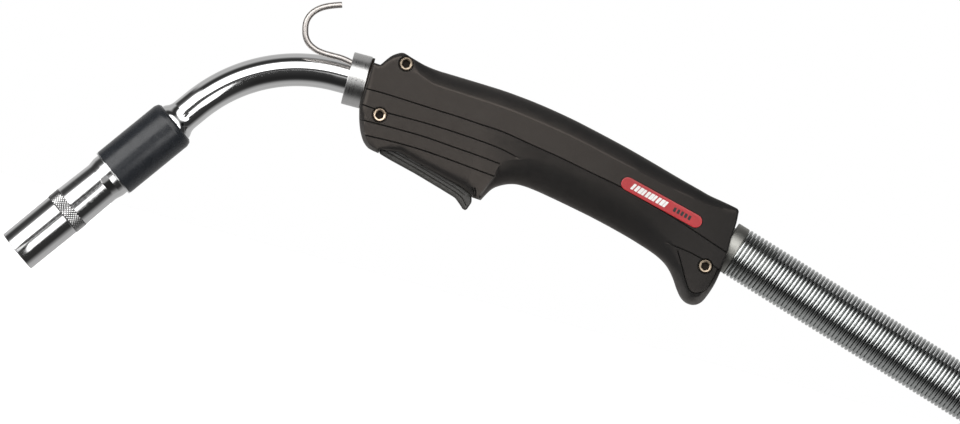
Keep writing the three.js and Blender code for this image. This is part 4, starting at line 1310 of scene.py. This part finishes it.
# ------------------------------------------------------------ collar and hook
COLLAR_FRONT, COLLAR_REAR = -9.75, -0.2
COLLAR_BORE, COLLAR_RADIUS = 8.6, 13.35
COLLAR = [
    (COLLAR_FRONT, COLLAR_BORE, 0.2), (COLLAR_FRONT, COLLAR_RADIUS, 0.45),
    (COLLAR_REAR, COLLAR_RADIUS, 0.45), (COLLAR_REAR, COLLAR_BORE, 0.2),
]
SET_SCREW_TURN = math.radians(-30)  # from +Y, downwards
SET_SCREW_DIR = np.array([0.0, math.cos(SET_SCREW_TURN), math.sin(SET_SCREW_TURN)])
COLLAR_MIDDLE = np.array([(COLLAR_FRONT + COLLAR_REAR) / 2, 0.0, 0.0])
HOOK_Y, HOOK_Z = -7.9, 7.5
# the hook's centre line, from the collar forwards, up and back: (x, z)
HOOK = [
    (-2.0, HOOK_Z), (-8.0, HOOK_Z), (-10.5, 7.85), (-13.0, 8.35), (-16.0, 8.65),
    (-20.0, 8.65), (-24.0, 8.7), (-27.6, 9.15), (-30.2, 10.0), (-32.4, 11.2), (-34.2, 12.9),
    (-35.5, 15.0), (-36.3, 17.4), (-36.8, 20.0), (-36.8, 22.4), (-36.2, 24.6), (-35.0, 26.9),
    (-33.2, 28.9), (-31.0, 30.6), (-28.4, 32.0), (-25.2, 33.3), (-21.8, 34.5),
]


def collar():
    """The collar with its hook hole and set screw hole."""
    hook_hole = [(-20, 1.77), (-1.2, 1.77)]
    screw_hole = [(8.0, 2.15), (15.0, 2.15)]
    return carve(
        "hook_collar_turned",
        turned(finer(fillet(COLLAR), 1.6), NECK_POINT, NECK_DIR, 144),
        [
            turned(hook_hole, (0, HOOK_Y, HOOK_Z), NECK_DIR, 32, solid=True),
            turned(screw_hole, COLLAR_MIDDLE, SET_SCREW_DIR, 32, solid=True),
        ],
    )


def set_screw():
    """A headless screw with a hexagon socket."""
    socket = hexagon(0.88, 48)
    profile = [
        (8.85, 1.2), (9.3, 1.8), (12.4, 1.8), (12.6, 1.65), (12.6, socket + 0.1),
        (12.5, socket), (11.1, socket), (11.0, socket * 0.3),
    ]
    return turned(profile, COLLAR_MIDDLE, SET_SCREW_DIR, 48, solid=True)


def hook():
    path = smooth_path([(x, HOOK_Y, z) for x, z in HOOK], 10)
    radii = np.full(len(path), 1.55)
    radii[-1] = 1.42
    return tube(path, radii, 36)


piece("hook_collar_turned", collar(), FINISH["collar"], "hook_collar",
      body="hook_ring")
piece("set_screw_socket", set_screw(), FINISH["oxide"],
      "collar_set_screw", body="hook_ring")
piece("hook_rod", hook(), FINISH["hook"], "hanger_hook", body="hook_ring")

# a dark ring on the handle's front face, behind the collar: painted shadow in the gap between the
# collar and the handle
GAP_SHADOW_RING = [(-0.12, 8.7, 0.05), (-0.12, 12.9, 0.1), (1.1, 12.9, 0.05), (1.1, 8.7, 0.05)]
piece("collar_gap_shadow_ring", turned(fillet(GAP_SHADOW_RING, 3), NECK_POINT, NECK_DIR, 96), FINISH["socket"])

# -------------------------------------------------------------------- trigger
LEVER_HALF_WIDTH, LEVER_RIM = 9.5, 1.15
# side outline: (x, z, corner rounding)
LEVER = [
    (15.0, -25.0, 0.8), (25.0, -24.8, 1.2), (30.0, -28.6, 3), (46.0, -33.6, 10),
    (60.0, -37.6, 10), (65.2, -39.8, 1.2), (66.3, -44.2, 2.5), (64.9, -48.2, 1.2),
    (63.9, -48.9, 0.8), (62.6, -48.4, 1.2), (61.0, -46.9, 3), (57.7, -44.2, 5),
    (49.3, -41.7, 20), (35.3, -37.7, 20), (21.4, -34.3, 10), (15.8, -32.7, 1.2),
    (15.0, -31.6, 0.8),
]
LEVER_HOLLOW = [
    (16.2, -20), (16.2, -30.4), (21.9, -31.9), (35.9, -35.3), (50.0, -39.3),
    (59.0, -41.9), (62.6, -44.2), (63.8, -41.5), (63.8, -20),
]
# a groove along the side, and a finer one above it
LEVER_LINE = curve(
    [(15.0, -29.9), (21.9, -31.6), (35.9, -35.2), (49.9, -39.2), (57.9, -41.7),
     (61.9, -43.9), (63.9, -46.4)],
    1.0,
)
LEVER_FINE = offset_line(LEVER_LINE, 1.75)
LEVER_FINE = LEVER_FINE[(LEVER_FINE[:, 0] > 17.0) & (LEVER_FINE[:, 0] < 62.0)]
LINE_HALF, LINE_DEPTH = 0.34, 0.55
FINE_HALF, FINE_DEPTH = 0.3, 0.22


def lever():
    """A bar of mirrored sides, hollow from above, with its pivot hole."""
    outline = np.array(spaced(subdivided(fillet(LEVER, 4), 0.8), 0.15))

    def height(points):
        rim = bow(1 - distance_to(points, close(outline)) / LEVER_RIM, 0.0)
        gap, _, _, side = nearest(points, LEVER_LINE)
        fine_gap = distance_to(points, LEVER_FINE)
        half = LEVER_HALF_WIDTH - LEVER_RIM * rim
        half = half - LINE_DEPTH * np.clip(1 - gap / LINE_HALF, 0, 1)
        half = half - FINE_DEPTH * np.clip(1 - fine_gap / FINE_HALF, 0, 1)
        # above the line the wall stands a little back
        return half - 0.3 * np.clip(gap * side / 0.35, 0, 1)

    lines = []
    for line, width in ((LEVER_LINE, LINE_HALF), (LEVER_FINE, FINE_HALF)):
        for offset in (-width, 0.0, width):
            moved = offset_line(line, offset)
            lines.append(moved[inside(moved, outline)])
    grid = grid_points(outline, np.arange(14, 68, 1.3), np.arange(-50, -24, 1.2))
    grid = clear_of(grid, [close(outline)], 1.25)
    grid = clear_of(clear_of(grid, [LEVER_LINE], 0.7), [LEVER_FINE], 0.6)
    rings = rim_rings(outline, LEVER_RIM, (14, 28, 43, 58, 74))
    free = np.vstack([grid] + [ring[good] for ring, good in rings])
    return carve(
        "trigger_bar",
        side_plate((outline, lines, [], free), height, -1),
        [prism(LEVER_HOLLOW, -7.7, 7.7), across(PIVOT, 2.25, -12, 12, 32)],
    )


piece("trigger_bar", lever(), FINISH["lever"], "trigger_lever",
      body="trigger", sharp=30.0)

# -------------------------------------------------- strain relief and cable
FERRULE = [
    (-27, 8.35, 0.2), (-27, 9.7, 0.3), (-3.5, 9.7, 0), (-3.5, 12.75, 0.3),
    (3.1, 12.75, 0.9), (3.1, 10.6, 0), (22, 10.6, 0.3), (22, 8.35, 0.2),
]
piece("relief_ferrule", turned(fillet(FERRULE, 4), RELIEF_POINT, RELIEF_DIR, 128),
      FINISH["ferrule"], "strain_relief_ferrule")

WIRE_RADIUS, COIL_RADIUS, COIL_PITCH = 0.93, 12.06, 2.12
COIL_STEPS, WIRE_SIDES = 56, 12  # steps to a turn
COIL_LEAN = 0.03  # how far the turns lean along the axis, per length up from it
COIL_START = 2.05 + WIRE_RADIUS
COIL_TURNS = (188.0 - WIRE_RADIUS - COIL_START) / COIL_PITCH
SHEATH_RADIUS, SHEATH_BORE = 8.0, 6.9
SHEATH_START, SHEATH_END = -95.0, 248.0


def coil_part(start, end):
    """The spring's wire between two places along the axis."""
    first, last = (
        int(round((place - COIL_START) / COIL_PITCH * COIL_STEPS)) for place in (start, end)
    )
    step = np.arange(max(0, first), min(int(COIL_TURNS * COIL_STEPS), last) + 1)
    turn = -step * 2 * math.pi / COIL_STEPS - 0.9
    place = COIL_START + step * COIL_PITCH / COIL_STEPS
    axis, across_axis, up_axis = axes_of(RELIEF_DIR)
    radial = np.outer(np.cos(turn), across_axis) + np.outer(np.sin(turn), up_axis)
    lean = COIL_LEAN * np.clip((place - COIL_START) / 14.0, 0, 1)
    lean = lean * COIL_RADIUS * (radial @ RELIEF_UP)
    centre = RELIEF_POINT + np.outer(place + lean, axis) + COIL_RADIUS * radial
    tangent = np.outer(np.sin(turn), across_axis) - np.outer(np.cos(turn), up_axis)
    tangent = unit_rows(tangent + axis * (COIL_PITCH / (2 * math.pi * COIL_RADIUS)))
    side = np.cross(tangent, radial)
    strips = [
        centre + WIRE_RADIUS * (math.cos(angle) * radial + math.sin(angle) * side)
        for angle in angles(WIRE_SIDES)
    ]
    return loft(list(np.array(strips).transpose(1, 0, 2)), solid=True)


def sheath_part(start, end, last):
    """A length of the cable's sheath. The last one has its end rounded off."""
    places = list(np.arange(start, end, 2.0)) + [end]
    outer = [(place, SHEATH_RADIUS) for place in places]
    inner = [(place, SHEATH_BORE) for place in reversed(places)]
    if last:
        outer[-1:] = [(end - 0.35, SHEATH_RADIUS), (end, 7.7), (end, 7.05)]
        inner[0] = (end - 0.3, SHEATH_BORE)
    return turned(outer + inner, RELIEF_POINT, RELIEF_DIR, 64)


HINGES = [28.0, 68.0, 108.0, 148.0]  # places along the relief's axis
BODIES = ["handle", "relief_1", "relief_2", "relief_3", "relief_4"]
PARTS = [(0.0, 8.0)] + [(hinge - 20.0, hinge + 20.0) for hinge in HINGES] + [(168.0, 200.0)]
CAD_SUFFIXES = ["handle", "1", "2", "3", None, "4"]  # CAD node that each part replaces
for i, ((start, end), suffix) in enumerate(zip(PARTS, CAD_SUFFIXES)):
    first, last = i == 0, i == len(PARTS) - 1
    body, blend = ("handle" if first else "relief_4"), None
    if not (first or last):
        ends = [tuple(to_frame(on_relief(place))[0]) for place in (start, end)]
        blend = (BODIES[i - 1], BODIES[i], *ends)
    piece("relief_coil_%d" % (i + 1), coil_part(start, end), FINISH["coil"],
          suffix and "strain_relief_spring_" + suffix, body=body, blend=blend)
    sheath = sheath_part(SHEATH_START if first else start, SHEATH_END if last else end, last)
    piece("cable_sheath_%d" % (i + 1), sheath, FINISH["rubber"],
          suffix and "cable_jacket_" + suffix, body=body, blend=blend)

# the cut end of the cable: twisted strands round the coiled liner
STRAND_START = 226.0
STRAND_LAYERS = ((20, 3.35, -0.035), (27, 4.32, 0.035))  # count, radius, twist per length
CORE = [(149.0, 2.95, 0), (149.0, 4.75, 0), (249.6, 4.75, 0.4), (249.6, 2.95, 0.3)]
LINER_START, LINER_END, LINER_PITCH, LINER_STEPS = 236.0, 261.4, 1.05, 28
LINER_TUBE = [(149.0, 1.25), (149.0, 2.45), (240.0, 2.45), (240.0, 1.25)]


def relief_helix(places, turn, radius, wire_radius):
    """Wire at a radius round the relief's axis."""
    path = [
        on_relief(place, radius * math.cos(angle), radius * math.sin(angle))
        for place, angle in zip(places, turn)
    ]
    return tube(path, wire_radius, 8)


def strands():
    random = np.random.default_rng(7)
    wires = []
    for count, radius, twist in STRAND_LAYERS:
        for k in range(count):
            start_turn = 2 * math.pi * (k + 0.15 * random.random()) / count
            places = np.linspace(STRAND_START, 252.2 + 1.8 * random.random(), 14)
            turn = start_turn + (places - STRAND_START) * twist
            wires.append(relief_helix(places, turn, radius, 0.43))
    return joined(wires)


def liner_coil():
    step = np.arange(0, int((LINER_END - LINER_START) / LINER_PITCH * LINER_STEPS))
    places = LINER_START + step * LINER_PITCH / LINER_STEPS
    return relief_helix(places, step * 2 * math.pi / LINER_STEPS, 1.98, 0.5)


piece("cut_strands", strands(), FINISH["copper"], body="relief_4")
piece("conductor_core", turned(fillet(CORE, 4), RELIEF_POINT, RELIEF_DIR, 48),
      FINISH["copper"], "cable_conductor_4", body="relief_4")
piece("liner_coil", liner_coil(), FINISH["steel"], body="relief_4")
piece("liner_tube", turned(LINER_TUBE, RELIEF_POINT, RELIEF_DIR, 32), FINISH["steel"],
      "wire_liner_4", body="relief_4")

# ------------------------------------------------ finishes of kept CAD nodes
KEPT = {
    "brass": [
        "gas_diffuser", "connector_block", "handle_insert_front_lower",
        "handle_insert_front_top", "handle_insert_rear", "switch_terminal_front",
        "switch_terminal_rear",
    ],
    "copper": [
        "neck_conductor", "cable_conductor_handle", "cable_conductor_1",
        "cable_conductor_2", "cable_conductor_3", "cable_crimp",
    ],
    "steel": [
        "wire_liner_handle", "wire_liner_1", "wire_liner_2", "wire_liner_3",
        "trigger_pivot_pin", "trigger_return_spring",
    ],
    "oxide": ["block_screw_front", "block_screw_rear"],
    "insulation": ["neck_insulation"],
    "lead_grey": ["control_lead_a"],
    "lead_brown": ["control_lead_b"],
    "switch": ["switch_housing"],
    "plunger": ["switch_plunger"],
}
FINISH_OF = {name: FINISH[key] for key, names in KEPT.items() for name in names}
for name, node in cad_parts.items():
    if node.hide_render:
        continue
    if not node.material_slots:
        node.data.materials.append(FINISH_OF[name])
        continue
    for material_slot in node.material_slots:
        material_slot.material = FINISH_OF[name]


# ---------------------------------------------------------------------- floor
def studio_floor():
    """A plain below the torch, pure white to the camera."""
    mesh = bpy.data.meshes.new("studio_floor")
    work = bmesh.new()
    bmesh.ops.create_grid(work, x_segments=2, y_segments=2, size=40.0)
    work.to_mesh(mesh)
    work.free()
    floor = add_object("studio_floor", mesh)
    floor.location = (0, 0, CAD_BOX[0].z - 0.22)
    skin = Surface("studio_floor")
    drift = skin.remap(skin.noise(3.0, detail=2.0), 0.0, 1.0)
    skin.set(
        Base_Color=skin.mix(drift, (0.86, 0.86, 0.86), (0.88, 0.88, 0.88)),
        Roughness=skin.remap(skin.noise(8.0, detail=2.0), 0.75, 0.85),
        Emission_Color=(1.0, 1.0, 1.0),
        Emission_Strength=skin.add("LightPath").outputs["Is Camera Ray"],
    )
    mesh.materials.append(skin.material)
    floor.visible_glossy = False


studio_floor()

# ----------------------------------------------------------------------- room
# The room is set by the angle from the viewer's axis (0 at the viewer, 1 behind the
# object), above and below it, and by the slant across it, so that each tube sees its own.
SOFTBOX = 2.8  # the brightest level
# (angle, brightness)
OVER_NECK = [
    (0.0, 0.045), (0.055, 0.06), (0.085, SOFTBOX), (0.285, SOFTBOX), (0.335, 0.20),
    (0.37, 0.035), (0.46, 0.035), (0.50, 0.13), (0.55, 0.40), (0.59, 0.50), (0.72, 0.47),
    (0.85, 0.60), (1.0, 0.75),
]
OVER_NOZZLE = [
    (0.0, 0.05), (0.085, 0.07), (0.115, SOFTBOX), (0.345, SOFTBOX), (0.39, 0.45),
    (0.43, 0.12), (0.50, 0.05), (0.60, 0.05), (0.645, 0.18), (0.70, 0.52), (0.85, 0.62),
    (1.0, 0.75),
]
OVER_SPRING = [
    (0.0, 0.3), (0.03, 2.2), (0.22, 2.2), (0.29, 1.1), (0.35, 0.2), (0.41, 0.07),
    (0.55, 0.05), (0.63, 0.14), (0.73, 0.38), (0.85, 0.55), (1.0, 0.75),
]
UNDER_NECK = [
    (0.0, 0.045), (0.05, 0.05), (0.13, 0.032), (0.26, 0.02), (0.35, 0.022), (0.40, 0.055),
    (0.45, 0.20), (0.49, 0.34), (0.59, 0.47), (0.72, 0.44), (1.0, 0.60),
]
UNDER_NOZZLE = [
    (0.0, 0.05), (0.05, 0.06), (0.20, 0.05), (0.33, 0.035), (0.42, 0.03), (0.45, 0.06),
    (0.50, 0.20), (0.59, 0.46), (0.72, 0.49), (1.0, 0.60),
]
UNDER_SPRING = [
    (0.0, 0.3), (0.03, 1.2), (0.06, 0.8), (0.13, 0.42), (0.19, 0.18), (0.24, 0.04),
    (0.32, 0.06), (0.40, 0.2), (0.47, 0.36), (0.60, 0.42), (0.75, 0.44), (1.0, 0.60),
]
WARMTH = (1.0, 0.993, 0.985)  # gain of red, green and blue


class Room(Graph):
    """The world's node tree."""

    def fade(self, value, start, end):
        """0 at start, 1 at end."""
        return self.remap(value, 0.0, 1.0, start, end)

    def blend(self, factor, first, second):
        kept = self.times(first, self.minus(1.0, factor))
        return self.plus(kept, self.times(second, factor))

    def brightness(self, value, stops):
        """Brightness along a value. The ramp holds its square root, for finer darks."""
        ramp = self.add("ValToRGB")
        elements = ramp.color_ramp.elements
        while len(elements) > 1:
            elements.remove(elements[0])
        for i, (place, level) in enumerate(stops):
            element = elements.new(place) if i else elements[0]
            element.position = place
            element.color = (*([(level / SOFTBOX) ** 0.5] * 3), 1.0)
        self.feed(ramp.inputs[0], value)
        return self.times(self.times(ramp.outputs[0], ramp.outputs[0]), SOFTBOX)


def low_strip(room, turn, slant, to_nozzle):
    """A strip of light below the viewer's axis, on the slants of the bend and nozzle."""
    to_steepest = room.fade(slant, -0.645, -0.685)
    start = room.plus(room.times(to_nozzle, 0.058), room.times(to_steepest, 0.015))
    reach = room.remap(slant, 0.0, 0.225, from_low=-0.27, from_high=-0.50)
    reach = room.minus(reach, room.times(to_nozzle, 0.045))
    reach = room.plus(reach, room.times(to_steepest, 0.075))
    return room.times(
        room.fade(room.minus(reach, turn), -0.012, 0.018),
        room.fade(room.minus(turn, start), 0.022, 0.045),
    )


def studio_world():
    world = bpy.data.worlds.new("studio")
    bpy.context.scene.world = world
    world.use_nodes = True
    room = Room(world.node_tree)
    room.nodes.clear()
    output = room.add("OutputWorld")
    coord = room.add("TexCoord").outputs["Camera"]  # the lights keep to the viewer
    camera_ray = room.add("LightPath").outputs["Is Camera Ray"]

    ahead = room.vector("DOT_PRODUCT", coord, (0, 0, -1))
    turn = room.math("DIVIDE", room.math("ARCCOSINE", ahead), math.pi)
    x = room.vector("DOT_PRODUCT", coord, (1, 0, 0))
    y = room.vector("DOT_PRODUCT", coord, (0, 1, 0))
    upness = room.plus(room.times(y, 8.0), 0.5, clamp=True)
    squares = room.plus(room.times(x, x), room.times(y, y))
    length = room.math("SQRT", room.plus(squares, 4e-4))  # never quite zero
    slant = room.math("DIVIDE", room.times(x, room.math("SIGN", y)), length)
    to_nozzle = room.fade(slant, -0.57, -0.62)
    to_bend = room.fade(slant, -0.25, -0.50)
    to_spring = room.fade(slant, 0.30, 0.50)
    over_neck, over_nozzle, over_spring, under_neck, under_nozzle, under_spring = (
        room.brightness(turn, stops)
        for stops in (
            OVER_NECK, OVER_NOZZLE, OVER_SPRING, UNDER_NECK, UNDER_NOZZLE, UNDER_SPRING,
        )
    )
    strip = low_strip(room, turn, slant, to_nozzle)
    over = room.blend(to_spring, room.blend(to_nozzle, over_neck, over_nozzle), over_spring)
    under = room.blend(to_spring, room.blend(to_bend, under_neck, under_nozzle), under_spring)
    under = room.plus(under, room.times(strip, 2.0))
    # the light ends a little to the right of the viewer
    beyond = room.minus(room.times(x, 0.9), room.times(y, 0.43))
    beyond = room.times(
        room.fade(beyond, 0.45, 0.72),
        room.remap(turn, 1.0, 0.0, from_low=0.42, from_high=0.52),
    )
    over = room.blend(beyond, over, room.times(over, 0.06))
    level = room.blend(upness, under, over)
    colour = room.add("CombineColor")
    for socket, gain in zip(colour.inputs, WARMTH):
        room.feed(socket, room.times(level, gain))
    background = room.add("Background")
    seen = room.mix(camera_ray, colour.outputs[0], (1.0, 1.0, 1.0))
    room.feed(background.inputs["Color"], seen)
    room.feed(background.inputs["Strength"], 1.0)
    room.feed(output.inputs["Surface"], background.outputs[0])


studio_world()


# ----------------------------------------------------------- lights and camera
def area_light(name, place, size, energy, colour=(1, 1, 1)):
    """A light, in metres and watts, aimed at the frame's origin."""
    data = bpy.data.lights.new(name, "AREA")
    data.shape = "RECTANGLE"
    data.size, data.size_y = size
    data.energy = energy
    data.color = colour
    light = add_object(name, data)
    light.location = place
    light.rotation_mode = "QUATERNION"
    light.rotation_quaternion = (-Vector(place)).to_track_quat("-Z", "Y")
    light.visible_glossy = False


area_light("key", (-0.7, -1.3, 1.5), size=(1.4, 1.0), energy=2.0, colour=(1.0, 0.985, 0.96))
area_light("far_side", (0.5, 1.6, 1.0), size=(1.4, 1.0), energy=6.0)

LENS, SENSOR = 500.0, 36.0
VIEW_WIDTH = 0.480  # metres across the picture at the torch
VIEW_ROLL = math.radians(15.0)
VIEW_CENTRE = (71.6, -8.0, -47.75)


def add_camera():
    """Looks along +Y, rolled so that the torch slopes in the picture."""
    data = bpy.data.cameras.new("camera")
    data.lens, data.sensor_width = LENS, SENSOR
    data.clip_start, data.clip_end = 0.05, 200.0
    camera = add_object("camera", data)
    right = Vector((math.cos(VIEW_ROLL), 0, math.sin(VIEW_ROLL)))
    above = Vector((-math.sin(VIEW_ROLL), 0, math.cos(VIEW_ROLL)))
    basis = Matrix((right, above, Vector((0, -1, 0)))).transposed().to_4x4()
    away = Vector((0, -VIEW_WIDTH * LENS / SENSOR, 0))
    place = Vector(to_frame(VIEW_CENTRE)[0]) + away
    camera.matrix_world = Matrix.Translation(place) @ basis
    bpy.context.scene.camera = camera


add_camera()
bpy.context.scene.view_settings.view_transform = "Standard"
